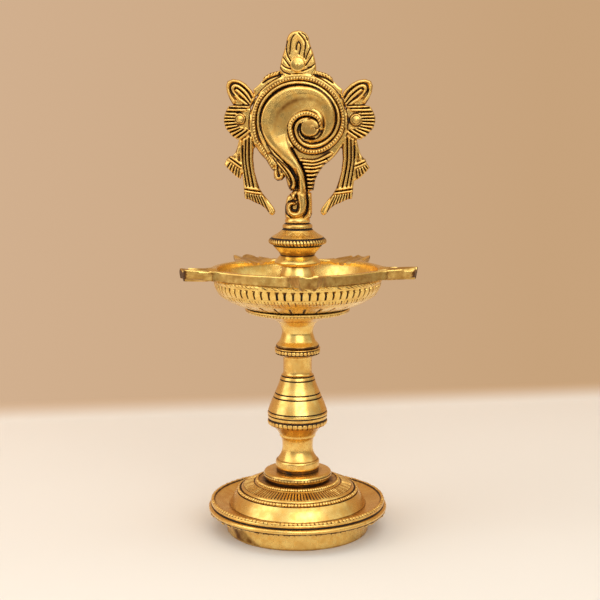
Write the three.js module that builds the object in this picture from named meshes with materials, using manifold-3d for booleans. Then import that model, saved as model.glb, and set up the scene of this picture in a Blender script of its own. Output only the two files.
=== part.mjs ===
// A brass oil lamp for five wicks with a conch emblem on top: a foot, a turned stem, an open bowl
// with five spouts and a cast finial, screwed together on hidden studs. Millimetres, +Z up.

import * as THREE from 'three';
import { mergeVertices } from 'three/addons/utils/BufferGeometryUtils.js';
import Module from 'manifold-3d';

// The foot: its ring on the table, its flange, its dome and the land that the seat ring lies on
const BASE_HEIGHT = 30;
const FOOT_RADIUS = 40.5;
const FOOT_WALL = 3.2;
const FLANGE_RADIUS = 50.8;
const FLANGE_BOTTOM = 11.4;
const FLANGE_THICKNESS = 3.6;
const DOME_RADIUS = 39.3;
const LAND_RADIUS = 17.5;

// The turned pieces above it
const SEAT_RING_RADIUS = 19.2;
const SEAT_RING_HEIGHT = 4.5;
const STEM_HEIGHT = 66.3;
const STEM_FOOT_RADIUS = 12.3;
const STEM_DRUM_HEIGHT = 6.3;
const STEM_WAIST_RADIUS = 8.7;
const STEM_WAIST_HEIGHT = 14.5;
const STEM_BELLY_RADIUS = 16.8;
const STEM_BELLY_HEIGHT = 31.1;
const STEM_TOP_RADIUS = 8;
const STEM_TOP_LENGTH = 11.4;
const COLLAR_RADIUS = 12.7;
const COLLAR_HEIGHT = 5.2;
const SUPPORT_HEIGHT = 21.5;
const SUPPORT_FOOT_RADIUS = 12.2;
const SUPPORT_NECK_RADIUS = 8.8;
const SAUCER_RADIUS = 29;
const SAUCER_DEPTH = 6.4;

// The bowl
const BOWL_HEIGHT = 22.9;
const BOWL_FLOOR = 3.2;
const RIM_RADIUS = 47.6;
const RIM_WALL = 2.4;
const RIM_BAND = 6;

// The five spouts, each a trough that narrows and rises from the rim to its tip. They were set
// out by eye, so their spacing isn't quite even.
const SPOUT_ANGLES = [-85, -14, 54, 121, 201];
const SPOUT_REACH = 66.8;
const SPOUT_ROOT_WIDTH = 22;
const SPOUT_TIP_WIDTH = 10;
const SPOUT_RISE = 1.5;
const SPOUT_WALL = 1.4;

// The finial
const BOSS_HEIGHT = 27.3;
const BOSS_FOOT_RADIUS = 14;
const BOSS_DISC_RADIUS = 12.6;
const KNOP_HEIGHT = 14.6;
const KNOP_RADIUS = 16;
const KNOP_TOP_RADIUS = 8;
const EMBLEM_FOOT_RADIUS = 8.3;
const EMBLEM_NECK_RADIUS = 6.4;
const DISC_HEIGHT = 57.6;
const DISC_RADIUS = 27;

// How far the emblem's layers stand out on each side of its middle plane
const RIM_DEPTH = 2.2;
const DISC_DEPTH = 3.4;
const PLATE_DEPTH = 1.8;
const CROWN_DEPTH = 2.4;
const CONE_DEPTH = 3.6;
const POST_DEPTH = 6.2;
const COIN_DEPTH = 3;

// The hidden studs: M8 under and over the stem, M6 in the finial. Each is held by the piece above
// its joint and screws down into the piece below.
const CLEARANCE = 0.3;
const STEM_STUD_RADIUS = 4;
const FINIAL_STUD_RADIUS = 3;
const STUD_IN_BASE = 12.5;
const STUD_IN_STEM_FOOT = 17.5;
const STUD_IN_STEM_TOP = 11.8;
const STUD_IN_SUPPORT = 8.5;
const FINIAL_STUD_IN_SUPPORT = 9.5;
const FINIAL_STUD_IN_EMBLEM = 7.4;
const BORE_SPARE = 1;

// Fineness of the round forms
const TURN_STEPS = 36;
const ROD_STEPS = 24;

// What follows from these
const SEAT_TOP = BASE_HEIGHT + SEAT_RING_HEIGHT;
const STEM_TOP = SEAT_TOP + STEM_HEIGHT;
const COLLAR_TOP = STEM_TOP + COLLAR_HEIGHT;
const SUPPORT_TOP = COLLAR_TOP + SUPPORT_HEIGHT;
const BOSS_BOTTOM = SUPPORT_TOP + BOWL_FLOOR;
const BOSS_TOP = BOSS_BOTTOM + BOSS_HEIGHT;
const KNOP_TOP = BOSS_TOP + KNOP_HEIGHT;
const STEM_BORE = STEM_STUD_RADIUS + CLEARANCE;
const FINIAL_BORE = FINIAL_STUD_RADIUS + CLEARANCE;
const SPOUT_START = RIM_RADIUS - RIM_WALL;

const wasm = await Module();
wasm.setup();

const { lerp, mapLinear, degToRad } = THREE.MathUtils;
const pair = ([x, y]) => new THREE.Vector2(x, y);

// A point that lies a share of the way across and a share of the way up from one point to another
const between = (from, to) => ([across, up]) => [
  lerp(from[0], to[0], across), lerp(from[1], to[1], up),
];

// A rounded stretch of an outline through a few points
function rounded(points, steps) {
  return new THREE.SplineCurve(points.map(pair)).getPoints(steps);
}

// A turned body from an outline of [radius, height] points that ends on the axis or closes on itself
function turned(...stretches) {
  const outline = stretches.flat().map((point) => (point.isVector2 ? point : pair(point)));
  return new THREE.LatheGeometry(outline, TURN_STEPS).rotateX(Math.PI / 2);
}

// A geometry as a solid that can be joined and cut
function solid(geometry) {
  const bare = geometry.index ? geometry.toNonIndexed() : geometry.clone();
  bare.deleteAttribute('normal');
  bare.deleteAttribute('uv');
  const merged = mergeVertices(bare, 1e-4);
  const corners = [];
  for (let i = 0; i < merged.index.count; i += 3) {
    const [a, b, c] = merged.index.array.slice(i, i + 3);
    if (a !== b && b !== c && c !== a) corners.push(a, b, c);
  }
  return new wasm.Manifold(new wasm.Mesh({
    numProp: 3,
    vertProperties: new Float32Array(merged.attributes.position.array),
    triVerts: new Uint32Array(corners),
  }));
}

function surface(body) {
  const mesh = body.getMesh();
  const geometry = new THREE.BufferGeometry();
  geometry.setAttribute('position', new THREE.BufferAttribute(mesh.vertProperties, 3));
  geometry.setIndex(new THREE.BufferAttribute(mesh.triVerts, 1));
  geometry.computeVertexNormals();
  return geometry;
}

const joined = (geometries) => geometries.map(solid).reduce((whole, next) => whole.add(next));

// A plain round rod between two heights
function rod(radius, bottom, top) {
  return new THREE.CylinderGeometry(radius, radius, top - bottom, ROD_STEPS)
    .rotateX(Math.PI / 2)
    .translate(0, 0, (bottom + top) / 2);
}

// Each piece's outline is drawn with its own foot at height 0

// The foot: a hollow casting with a flange, a dished plate and a dome, and a boss for the stud
function baseShape() {
  const hollowRadius = FOOT_RADIUS - FOOT_WALL;
  const hollowBottom = FLANGE_BOTTOM - 3.4;
  const bossRadius = STEM_BORE + 5.2;
  const bossBottom = BASE_HEIGHT - STUD_IN_BASE - 4.5;
  const flangeTop = FLANGE_BOTTOM + FLANGE_THICKNESS;
  const top = BASE_HEIGHT;
  return turned(
    [[STEM_BORE, bossBottom], [bossRadius, bossBottom], [bossRadius + 0.5, top - 7]],
    rounded([[0.38, 0.96], [0.67, 0.83], [0.88, 0.37], [1, 0]]
      .map(between([bossRadius, hollowBottom], [hollowRadius, top - 6.8])), 4),
    [[hollowRadius, 0], [FOOT_RADIUS - 0.6, 0], [FOOT_RADIUS, FLANGE_BOTTOM - 0.2]],
    [[FLANGE_RADIUS - 0.8, FLANGE_BOTTOM + 0.2], [FLANGE_RADIUS, FLANGE_BOTTOM + 1.2]],
    [[FLANGE_RADIUS, flangeTop - 0.6], [FLANGE_RADIUS - 1.2, flangeTop + 0.6]],
    [[FLANGE_RADIUS - 1.3, flangeTop + 2.2], [FLANGE_RADIUS - 2.5, flangeTop + 2.8]],
    [[FLANGE_RADIUS - 4.4, flangeTop + 1.7]],
    rounded([
      [DOME_RADIUS, flangeTop], [DOME_RADIUS - 1.1, flangeTop + 2.6],
      [DOME_RADIUS - 2.7, flangeTop + 5.4], [DOME_RADIUS - 4.7, top - 7.6],
    ], 4),
    [[DOME_RADIUS - 5.1, top - 6.1], [DOME_RADIUS - 6.7, top - 5.5], [DOME_RADIUS - 7.9, top - 4.6]],
    [[LAND_RADIUS + 6.7, top - 2.4], [LAND_RADIUS + 5.9, top - 0.8], [LAND_RADIUS + 4.1, top - 0.6]],
    [[LAND_RADIUS, top - 0.8], [LAND_RADIUS, top], [STEM_BORE, top], [STEM_BORE, bossBottom]],
  );
}

function seatRingShape() {
  const top = SEAT_RING_HEIGHT;
  return turned(
    [[STEM_BORE, 0], [LAND_RADIUS, 0], [SEAT_RING_RADIUS - 0.4, 0.7], [SEAT_RING_RADIUS, 1.6]],
    [[SEAT_RING_RADIUS, top - 1.3], [SEAT_RING_RADIUS - 0.6, top], [STEM_BORE, top], [STEM_BORE, 0]],
  );
}

// The stem: a baluster with a blind bore at each end
function stemShape() {
  const lowerBore = STUD_IN_STEM_FOOT + CLEARANCE;
  const upperBore = STEM_HEIGHT - STUD_IN_STEM_TOP - BORE_SPARE;
  const drum = [STEM_FOOT_RADIUS, STEM_DRUM_HEIGHT];
  const waist = [STEM_WAIST_RADIUS, STEM_WAIST_HEIGHT];
  const belly = [STEM_BELLY_RADIUS, STEM_BELLY_HEIGHT];
  const shaft = [STEM_TOP_RADIUS, STEM_HEIGHT - STEM_TOP_LENGTH];
  const drumToWaist = [[0, 0], [0.64, 0.32], [1, 0.8]].map(between(drum, waist));
  const waistToBelly = [[0, 0.1], [0.19, 0.3], [0.43, 0.51]].map(between(waist, belly));
  return turned(
    [[0, lowerBore], [STEM_BORE, lowerBore], [STEM_BORE, 0], [STEM_FOOT_RADIUS, 0]],
    rounded([...drumToWaist, ...waistToBelly], 8),
    rounded([
      ...[[0.73, 0.61], [0.95, 0.78]].map(between(waist, belly)),
      ...[[0, 0], [0.1, 0.17]].map(between(belly, shaft)),
    ], 5),
    rounded([[0.24, 0.33], [0.49, 0.5], [0.74, 0.75], [0.89, 0.94]].map(between(belly, shaft)), 5),
    [shaft, [STEM_TOP_RADIUS, STEM_HEIGHT], [STEM_BORE, STEM_HEIGHT]],
    [[STEM_BORE, upperBore], [0, upperBore]],
  );
}

function collarShape() {
  const top = COLLAR_HEIGHT;
  return turned(
    [[STEM_BORE, 0], [COLLAR_RADIUS - 1.3, 0], [COLLAR_RADIUS, 1.4], [COLLAR_RADIUS, top - 1.6]],
    [[COLLAR_RADIUS - 1.1, top], [STEM_BORE, top], [STEM_BORE, 0]],
  );
}

// The support: a trumpet neck that spreads into a saucer under the bowl
function supportShape() {
  const lowerBore = STUD_IN_SUPPORT + CLEARANCE;
  const upperBore = SUPPORT_HEIGHT - FINIAL_STUD_IN_SUPPORT - BORE_SPARE;
  const top = SUPPORT_HEIGHT;
  const foot = [SUPPORT_FOOT_RADIUS, 0];
  const neck = [SUPPORT_NECK_RADIUS, top / 2 - 2];
  const saucer = [SAUCER_RADIUS, top];
  return turned(
    [[0, lowerBore], [STEM_BORE, lowerBore], [STEM_BORE, 0], foot],
    rounded([
      ...[[0.05, 0.1], [0.5, 0.3], [0.9, 0.6]].map(between(foot, neck)),
      ...[[0.05, 0.2], [0.14, 0.43]].map(between(neck, saucer)),
    ], 8),
    rounded([[0.2, 0], [0.42, 0.3], [0.76, 0.52], [0.97, 0.74]]
      .map(between([SUPPORT_NECK_RADIUS, top - SAUCER_DEPTH], saucer)), 4),
    [[SAUCER_RADIUS, top - 0.9], [SAUCER_RADIUS - 0.4, top], [FINIAL_BORE, top]],
    [[FINIAL_BORE, upperBore], [0, upperBore]],
  );
}

// A spout's plan, drawn along +X and narrowed on every side by an inset
function spoutPlan(inset, start, end) {
  const halfWidth = (x) => mapLinear(
    x, SPOUT_START, SPOUT_REACH, SPOUT_ROOT_WIDTH / 2, SPOUT_TIP_WIDTH / 2) - inset;
  return new THREE.Shape([
    new THREE.Vector2(start, -halfWidth(start)),
    new THREE.Vector2(end, -halfWidth(end)),
    new THREE.Vector2(end, halfWidth(end)),
    new THREE.Vector2(start, halfWidth(start)),
  ]);
}

// A block of that plan, tilted up towards the tip
function spoutBlock(plan, bottom, top) {
  const slope = SPOUT_RISE / (SPOUT_REACH - SPOUT_START);
  return new THREE.ExtrudeGeometry(plan, { depth: top - bottom, bevelEnabled: false })
    .translate(-SPOUT_START, 0, bottom)
    .applyMatrix4(new THREE.Matrix4().makeShear(0, slope, 0, 0, 0, 0))
    .translate(SPOUT_START, 0, 0);
}

// The bowl: a turned dish with a hole for the finial's stud, opened into five troughs
function bowlShape() {
  const bandBottom = BOWL_HEIGHT - RIM_BAND;
  const above = BOWL_HEIGHT + 3;
  const outside = turned(
    [[0, 0], [SAUCER_RADIUS - 0.2, 0]],
    rounded([
      [SAUCER_RADIUS - 0.2, 0.4], [SAUCER_RADIUS + 6, 2.8], [RIM_RADIUS - 5.2, bandBottom - 10.2],
      [RIM_RADIUS - 2.7, bandBottom - 7.4], [RIM_RADIUS - 1, bandBottom - 3.2],
    ], 8),
    [[RIM_RADIUS - 0.5, bandBottom - 1], [RIM_RADIUS - 0.4, bandBottom]],
    [[RIM_RADIUS, BOWL_HEIGHT], [0, BOWL_HEIGHT]],
  );
  const inside = turned(
    [[0, BOWL_FLOOR], [SAUCER_RADIUS - 3, BOWL_FLOOR]],
    rounded([
      [SAUCER_RADIUS - 1, BOWL_FLOOR + 0.3], [SPOUT_START - 8.6, bandBottom - 9.4],
      [SPOUT_START - 3, bandBottom - 4.4], [SPOUT_START, bandBottom + 1.6],
    ], 6),
    [[SPOUT_START, above], [0, above]],
  );
  let bowl = solid(outside);
  for (const angle of SPOUT_ANGLES) {
    const trough = spoutPlan(0, SPOUT_START, SPOUT_REACH);
    bowl = bowl.add(solid(spoutBlock(trough, bandBottom, BOWL_HEIGHT).rotateZ(degToRad(angle))));
  }
  bowl = bowl.subtract(solid(inside));
  for (const angle of SPOUT_ANGLES) {
    const channel = spoutPlan(SPOUT_WALL, SPOUT_START - 4, SPOUT_REACH + 2);
    const cut = spoutBlock(channel, bandBottom + SPOUT_WALL, above);
    bowl = bowl.subtract(solid(cut.rotateZ(degToRad(angle))));
  }
  return surface(bowl.subtract(solid(rod(FINIAL_BORE, -1, BOWL_FLOOR + 1))));
}

// The boss that clamps the bowl, standing on the bowl's floor
function bossShape() {
  const top = BOSS_HEIGHT;
  return turned(
    [[FINIAL_BORE, 0], [BOSS_FOOT_RADIUS, 0], [BOSS_FOOT_RADIUS - 1, 2.3]],
    [[10.2, top - 11], [8.1, top - 6.8]],
    rounded([
      [10.6, top - 6.4], [BOSS_DISC_RADIUS - 0.2, top - 5.2], [BOSS_DISC_RADIUS, top - 3.8],
      [BOSS_DISC_RADIUS - 1.2, top - 2],
    ], 4),
    [[9.6, top - 0.8], [9.5, top], [FINIAL_BORE, top], [FINIAL_BORE, 0]],
  );
}

function knopShape() {
  const top = KNOP_HEIGHT;
  return turned(
    [[FINIAL_BORE, 0], [9.7, 0], [10.4, 1.4], [KNOP_RADIUS - 2.2, 5.6], [KNOP_RADIUS - 0.6, 6.4]],
    [[KNOP_RADIUS, 7.4], [KNOP_RADIUS - 0.4, 8.6], [KNOP_RADIUS - 1.8, 9.6]],
    [[KNOP_TOP_RADIUS + 4, top - 3.3], [KNOP_TOP_RADIUS + 0.4, top - 0.6], [KNOP_TOP_RADIUS, top]],
    [[FINIAL_BORE, top], [FINIAL_BORE, 0]],
  );
}

// The emblem's forms stand in the X-Z plane round the disc's centre: u across, v up

// Points of a round arc between two angles in degrees
function arc(radius, from, to, count) {
  return Array.from({ length: count }, (_, i) => {
    const angle = degToRad(from + ((to - from) * i) / (count - 1));
    return [radius * Math.cos(angle), radius * Math.sin(angle)];
  });
}

// A swept horn: oval sections of [u, v, half width, half depth], closed at both ends
function horn(stations, steps, sides) {
  const line = new THREE.SplineCurve(stations.map(([u, v]) => new THREE.Vector2(u, v)));
  const size = new THREE.SplineCurve(stations.map(([, , w, d]) => new THREE.Vector2(w, d)));
  const points = [];
  const faces = [];
  for (let i = 0; i <= steps; i += 1) {
    const t = i / steps;
    const centre = line.getPoint(t);
    const across = line.getTangent(t).rotateAround(new THREE.Vector2(), Math.PI / 2);
    const { x: halfWidth, y: halfDepth } = size.getPoint(t);
    for (let j = 0; j < sides; j += 1) {
      const angle = (2 * Math.PI * j) / sides;
      const side = across.clone().multiplyScalar(halfWidth * Math.cos(angle)).add(centre);
      points.push(side.x, halfDepth * Math.sin(angle), side.y);
      const [a, b] = [i * sides + j, i * sides + ((j + 1) % sides)];
      if (i < steps) faces.push(a, a + sides, b, b, a + sides, b + sides);
    }
  }
  const last = steps * sides;
  for (let j = 1; j < sides - 1; j += 1) {
    faces.push(0, j, j + 1);
    faces.push(last, last + j + 1, last + j);
  }
  const geometry = new THREE.BufferGeometry();
  geometry.setAttribute('position', new THREE.Float32BufferAttribute(points, 3));
  geometry.setIndex(faces);
  return geometry;
}

// A flat plate with softened edges: its outline has straight sides, or is rounded in some steps
function plate(points, halfDepth, steps = 0) {
  const softening = Math.min(0.8, halfDepth / 2);
  const loop = steps ? rounded([...points, points[0]], steps).slice(0, -1) : points.map(pair);
  return new THREE.ExtrudeGeometry(new THREE.Shape(loop), {
    depth: 2 * (halfDepth - softening),
    bevelThickness: softening,
    bevelSize: softening,
    bevelOffset: -softening,
    bevelSegments: 1,
  }).rotateX(Math.PI / 2).translate(0, halfDepth - softening, 0);
}

// A round boss that stands out on both faces of a plate
function coin(u, v, radius, halfDepth) {
  return new THREE.CylinderGeometry(radius, radius, 2 * halfDepth, 14).translate(u, 0, v);
}

const mirrored = (points) => points.map(([u, v]) => [-u, v]);

// The disc, thicker in the middle than at its rim
function disc() {
  const outline = [
    [0, -DISC_DEPTH], [DISC_RADIUS * 0.7, -DISC_DEPTH], [DISC_RADIUS - 0.4, -RIM_DEPTH],
    [DISC_RADIUS - 0.4, RIM_DEPTH], [DISC_RADIUS * 0.7, DISC_DEPTH], [0, DISC_DEPTH],
  ];
  return new THREE.LatheGeometry(outline.map(pair), TURN_STEPS);
}

// The beaded cord that runs round the disc's edge and winds in to the middle of the whorl
function cord() {
  const cordRadius = 1.4;
  const edge = arc(DISC_RADIUS - cordRadius, 190, 0, 10);
  return horn([
    [-14.6, -22.4, 1, 3], [-20.6, -14, cordRadius, 3.6],
    ...edge.map(([u, v]) => [u, v, cordRadius, 3.8]),
    [22.4, -7.4, cordRadius, 4.6], [16.6, -12.4, cordRadius, 5.2], [10.4, -15.2, cordRadius, 5.6],
    [3.4, -14.2, cordRadius, 6], [-1.9, -10, cordRadius, 6.4], [-4.3, -3.6, cordRadius, 6.6],
    [-2.2, 2.2, cordRadius, 6.8], [3, 5.3, cordRadius, 6.8], [8.6, 4.5, 1.3, 6.8],
    [12.2, 0.6, 1, 6.6],
  ], 48, 6);
}

// The body of the shell: thin beside the whorl, full at the left, narrowing into the canal and
// curling up at its foot
function shell() {
  return horn([
    [3.4, -9, 1, 4.6], [10.6, -8.6, 1.3, 5], [15, -5.2, 2.4, 5.4], [16.9, 0.2, 3, 5.6],
    [15.4, 7.1, 4, 6], [10.5, 12, 5.4, 6.4], [4, 13.4, 6.4, 6.8], [-4, 11.8, 7.4, 7],
    [-10.4, 6.3, 7.6, 7], [-13, -0.4, 7.1, 7], [-11.7, -7.5, 6.2, 6.8], [-8.1, -13.8, 5, 6.6],
    [-4.4, -19.1, 4, 6.4], [-1, -24.8, 3, 6.2], [1, -30, 2.6, 6], [1.6, -37, 2.6, 6],
    [2, -43, 2.4, 6.2], [1, -48.4, 2, 6.4], [-2.6, -50, 1.8, 6.6], [-5.8, -47.6, 1.6, 6.8],
    [-4.6, -44.4, 1.4, 6.8], [-2.2, -45.6, 1, 6.6],
  ], 54, 10);
}

// The fold beside the canal on the left
function fold() {
  return horn([
    [-21.6, 2, 1, 3.6], [-20.2, -8, 1.4, 4.2], [-14.6, -16, 1.6, 4.8], [-8, -22.4, 1.8, 5],
    [-3.6, -28.6, 1.9, 5], [-3.2, -34.4, 1.6, 4.8],
  ], 12, 8);
}

const whorl = () => horn([[5.4, -2.6, 3, 3], [7, -2, 6, 7.2], [8.8, -1.4, 3, 3]], 6, 10);

// The ribbed cone beside the canal on the right, and the post that both stand on
const CONE_OUTLINE = [
  [0, -14], [14, -13.4], [21.4, -11.8], [20.4, -15.4], [15.8, -20.8], [12, -26], [9.8, -31],
  [7.8, -37], [4, -38], [0, -30], [-4, -20],
];
const POST_OUTLINE = [
  [2, -36], [7.2, -38], [7.4, -44], [7.2, -49], [5.6, -52.6], [-5.6, -52.6], [-7.4, -49],
  [-6.8, -44.6], [-5, -38], [-2, -36],
];

// The side ornaments, drawn on the right and repeated on the left
const LOOP_OUTLINE = [
  [23, 13], [28, 19], [33, 22.6], [37.6, 23], [40, 20.4], [39.2, 15.6], [36.6, 10.4], [28, 6.4],
];
const FAN_OUTLINE = [
  [26, 8], [36.6, 10], [41, 6.6], [42.4, 2.2], [41.2, -2.2], [37.6, -6.2], [32.6, -8.8], [25, -6],
];
const RIBBON_OUTLINE = [
  [25.4, -4], [25.4, -16], [24.4, -25], [21, -37.2], [18.8, -43.6], [14.2, -50.4], [19.3, -46.7],
  [30.2, -41.4], [30.4, -34.4], [31.4, -30], [31.6, -18], [31.8, -6],
];
const STREAMER_OUTLINE = [
  [31, -6], [33.4, -13.4], [36.8, -19], [39.6, -22.8], [36, -28], [31.4, -31.8], [30, -24],
];

// The crown of leaves above the disc, and the leaf scrolls beside it
const CROWN_OUTLINE = [
  [0.8, 50], [4.6, 48.4], [6.4, 45], [7.4, 41], [9.2, 36], [10.1, 30], [9.4, 27], [6, 23], [-6, 23],
  [-8.8, 27], [-9.4, 30], [-8.4, 35], [-6.9, 40], [-6, 44], [-4.4, 48],
];
const SCROLL_OUTLINE = [[8, 25], [10.5, 28], [15.6, 26.8], [19, 24.6], [24.2, 18], [20, 16], [10, 22]];

function emblemShape() {
  const bothSides = (outline, steps) => [outline, mirrored(outline)]
    .map((points) => plate(points, PLATE_DEPTH, steps));
  const upright = joined([
    disc(), cord(), shell(), fold(), whorl(),
    plate(CONE_OUTLINE, CONE_DEPTH),
    plate(POST_OUTLINE, POST_DEPTH),
    plate(CROWN_OUTLINE, CROWN_DEPTH),
    ...bothSides(LOOP_OUTLINE, 16),
    ...bothSides(FAN_OUTLINE, 16),
    ...bothSides(SCROLL_OUTLINE, 14),
    ...bothSides(RIBBON_OUTLINE),
    ...bothSides(STREAMER_OUTLINE),
    coin(31.9, 2.2, 3, COIN_DEPTH),
    coin(-31.9, 2.2, 3, COIN_DEPTH),
    coin(-0.4, 32.7, 4.1, COIN_DEPTH + 0.6),
  ]);
  const neckTop = DISC_HEIGHT - 51.6;
  const foot = turned([
    [0, 0], [EMBLEM_FOOT_RADIUS - 0.5, 0], [EMBLEM_FOOT_RADIUS, 0.8],
    [EMBLEM_FOOT_RADIUS - 0.2, 2.2], [EMBLEM_NECK_RADIUS + 0.5, 3],
    [EMBLEM_NECK_RADIUS, neckTop - 1.2], [EMBLEM_NECK_RADIUS + 0.6, neckTop], [0, neckTop],
  ]);
  const bore = rod(FINIAL_BORE, -1, FINIAL_STUD_IN_EMBLEM + CLEARANCE);
  return surface(upright.translate([0, 0, DISC_HEIGHT]).add(solid(foot)).subtract(solid(bore)));
}

// Brass as cast and buffed, brass as polished, and the studs' steel
const castBrass = new THREE.MeshStandardMaterial({ color: 0xc9973f, roughness: 0.34, metalness: 1 });
const brightBrass = new THREE.MeshStandardMaterial({ color: 0xdcb35c, roughness: 0.24, metalness: 1 });
const studSteel = new THREE.MeshStandardMaterial({ color: 0x8f8a80, roughness: 0.45, metalness: 1 });

function piece(name, material, footHeight, geometry) {
  const mesh = new THREE.Mesh(geometry, material);
  mesh.name = name;
  mesh.position.z = footHeight;
  return mesh;
}

// A stud across the joint at a height, so deep in the piece below and so high in the piece above
function stud(name, radius, joint, depth, height) {
  return piece(name, studSteel, joint, rod(radius, -depth, height));
}

const lamp = new THREE.Group();
lamp.add(
  piece('base', castBrass, 0, baseShape()),
  piece('seat_ring', castBrass, BASE_HEIGHT, seatRingShape()),
  stud('stem_stud', STEM_STUD_RADIUS, BASE_HEIGHT, STUD_IN_BASE, SEAT_RING_HEIGHT + STUD_IN_STEM_FOOT),
  piece('stem', castBrass, SEAT_TOP, stemShape()),
  stud('bowl_stud', STEM_STUD_RADIUS, STEM_TOP, STUD_IN_STEM_TOP, COLLAR_HEIGHT + STUD_IN_SUPPORT),
  piece('beaded_collar', castBrass, STEM_TOP, collarShape()),
  piece('bowl_support', brightBrass, COLLAR_TOP, supportShape()),
  piece('bowl', brightBrass, SUPPORT_TOP, bowlShape()),
  piece('finial_boss', brightBrass, BOSS_BOTTOM, bossShape()),
  piece('knop', brightBrass, BOSS_TOP, knopShape()),
  piece('conch_emblem', castBrass, KNOP_TOP, emblemShape()),
  stud('finial_stud', FINIAL_STUD_RADIUS, SUPPORT_TOP, FINIAL_STUD_IN_SUPPORT,
    KNOP_TOP - SUPPORT_TOP + FINIAL_STUD_IN_EMBLEM),
);

// The lamp's outermost points in plan: the spouts' tip corners and the flange
function planBox() {
  const box = new THREE.Box2();
  for (const angle of SPOUT_ANGLES) {
    for (const side of [-1, 1]) {
      const corner = new THREE.Vector2(SPOUT_REACH, (side * SPOUT_TIP_WIDTH) / 2);
      box.expandByPoint(corner.rotateAround(new THREE.Vector2(), degToRad(angle)));
    }
  }
  return box.union(new THREE.Box2(
    new THREE.Vector2(-FLANGE_RADIUS, -FLANGE_RADIUS),
    new THREE.Vector2(FLANGE_RADIUS, FLANGE_RADIUS),
  ));
}

// The lamp stands with the middle of its plan over the origin
const middle = planBox().getCenter(new THREE.Vector2());
lamp.position.set(-middle.x, -middle.y, 0);

const part = new THREE.Group();
part.add(lamp);

export default part;
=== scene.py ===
# %% [markdown]
# # A brass oil lamp with a conch on top
#
# The real thing is a small temple lamp of cast brass: a heavy foot, a turned stem, an open bowl
# whose rim runs out into five spouts for wicks, and a finial with a conch between two ribbon
# bows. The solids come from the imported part; this file dresses them. Everything is measured in
# millimetres from the table and from the lamp's own upright axis, and turned into metres only
# when a mesh is made.

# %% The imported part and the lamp's axis
import math

import bpy
import numpy as np
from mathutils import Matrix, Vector


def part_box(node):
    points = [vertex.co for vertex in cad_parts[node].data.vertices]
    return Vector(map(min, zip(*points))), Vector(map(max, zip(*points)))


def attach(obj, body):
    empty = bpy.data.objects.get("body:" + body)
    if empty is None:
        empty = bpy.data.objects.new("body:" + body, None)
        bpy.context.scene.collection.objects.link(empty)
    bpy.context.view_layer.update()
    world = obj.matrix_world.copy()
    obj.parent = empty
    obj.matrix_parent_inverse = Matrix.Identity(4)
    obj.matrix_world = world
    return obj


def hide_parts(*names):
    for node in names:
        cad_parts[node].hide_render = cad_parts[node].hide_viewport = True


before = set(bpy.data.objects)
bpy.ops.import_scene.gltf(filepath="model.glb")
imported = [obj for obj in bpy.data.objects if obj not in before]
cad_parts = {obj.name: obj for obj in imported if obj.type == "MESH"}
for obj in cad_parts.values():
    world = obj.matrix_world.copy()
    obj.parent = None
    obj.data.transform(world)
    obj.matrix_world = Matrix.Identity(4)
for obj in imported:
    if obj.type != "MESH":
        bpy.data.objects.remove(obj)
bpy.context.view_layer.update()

MM = 0.001
stem_low, stem_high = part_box("stem")
AXIS_X = (stem_low.x + stem_high.x) / 2 / MM
AXIS_Y = (stem_low.y + stem_high.y) / 2 / MM
print(f"lamp axis at x {AXIS_X:.2f} mm, y {AXIS_Y:.2f} mm")

# %% [markdown]
# ## Meshes that know where they are dirty and where shade is painted
#
# Old polish and lamp black stay in the grooves of such a lamp, while the raised parts are rubbed
# bright. One could paint that by hand or read it from the angle between faces. Here each point
# of a mesh carries a number from 0 to 1 for its grime, because the code that cuts a groove
# already knows where the groove is. The same number also carries painted shade: on the conch's
# shell, trunk and whorl, and in the gap under the seat ring.

# %% From points and faces to a piece
def put(name, data):
    made = bpy.data.objects.new(name, data)
    bpy.context.scene.collection.objects.link(made)
    return made


def piece(name, points, faces, grime, body, slot, nodes, sharp=50):
    mesh = bpy.data.meshes.new(name)
    spot = np.array(points, float)
    spot[:, 0] += AXIS_X
    spot[:, 1] += AXIS_Y
    mesh.from_pydata((spot * MM).tolist(), [], faces)
    # The layer holds grime, and painted shade where a piece asks for it.
    layer = mesh.attributes.new("grime", "FLOAT", "POINT")
    layer.data.foreach_set("value", np.clip(np.array(grime, np.float32), 0, 1))
    mesh.shade_smooth()
    mesh.set_sharp_from_angle(angle=math.radians(sharp))
    made = put(name, mesh)
    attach(made, body)
    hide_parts(*nodes)
    triangles = sum(len(face) - 2 for face in faces)
    print(f"{name}: {len(points)} points, {triangles} triangles")
    return made

# %% [markdown]
# ## Turning
#
# The foot, stem, rings and knops were cast and then turned on a lathe. A screw modifier on a
# drawn outline would give the plain forms, but not beads or ticks. So the outline is walked ring
# by ring, and a relief may lift each ring outwards by a different amount at each angle. Bands
# with fine work get many points round, and plain bands few, with one strip of wider faces where
# the count changes. Outlines are written as text, one pair of radius and height after another.

# %% Walking an outline
def trace(text):
    return [tuple(float(number) for number in spot.split()) for spot in text.split(",")]


def traces(text):
    return [trace(line) for line in text.split(";")]


def smooth_line(points, per_span=8):
    spots = np.array(points, float)
    before = np.vstack([2 * spots[0] - spots[1], spots[:-1]])
    after = np.vstack([spots[1:], 2 * spots[-1] - spots[-2]])
    line = []
    for i in range(len(spots) - 1):
        start, end = spots[i], spots[i + 1]
        lead = (after[i] - before[i]) / 2
        tail = (after[i + 1] - before[i + 1]) / 2
        for t in np.linspace(0, 1, per_span, endpoint=False):
            a = 2 * t**3 - 3 * t**2 + 1
            b = t**3 - 2 * t**2 + t
            c = -2 * t**3 + 3 * t**2
            d = t**3 - t**2
            line.append(a * start + b * lead + c * end + d * tail)
    line.append(spots[-1])
    return np.array(line)


def even_steps(line, spacing):
    lengths = np.hypot(*np.diff(line[:, :2], axis=0).T)
    along = np.concatenate([[0], np.cumsum(lengths)])
    count = max(1, int(round(along[-1] / spacing)))
    marks = np.linspace(0, along[-1], count + 1)
    return np.stack([np.interp(marks, along, column) for column in line.T], axis=1)

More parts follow.
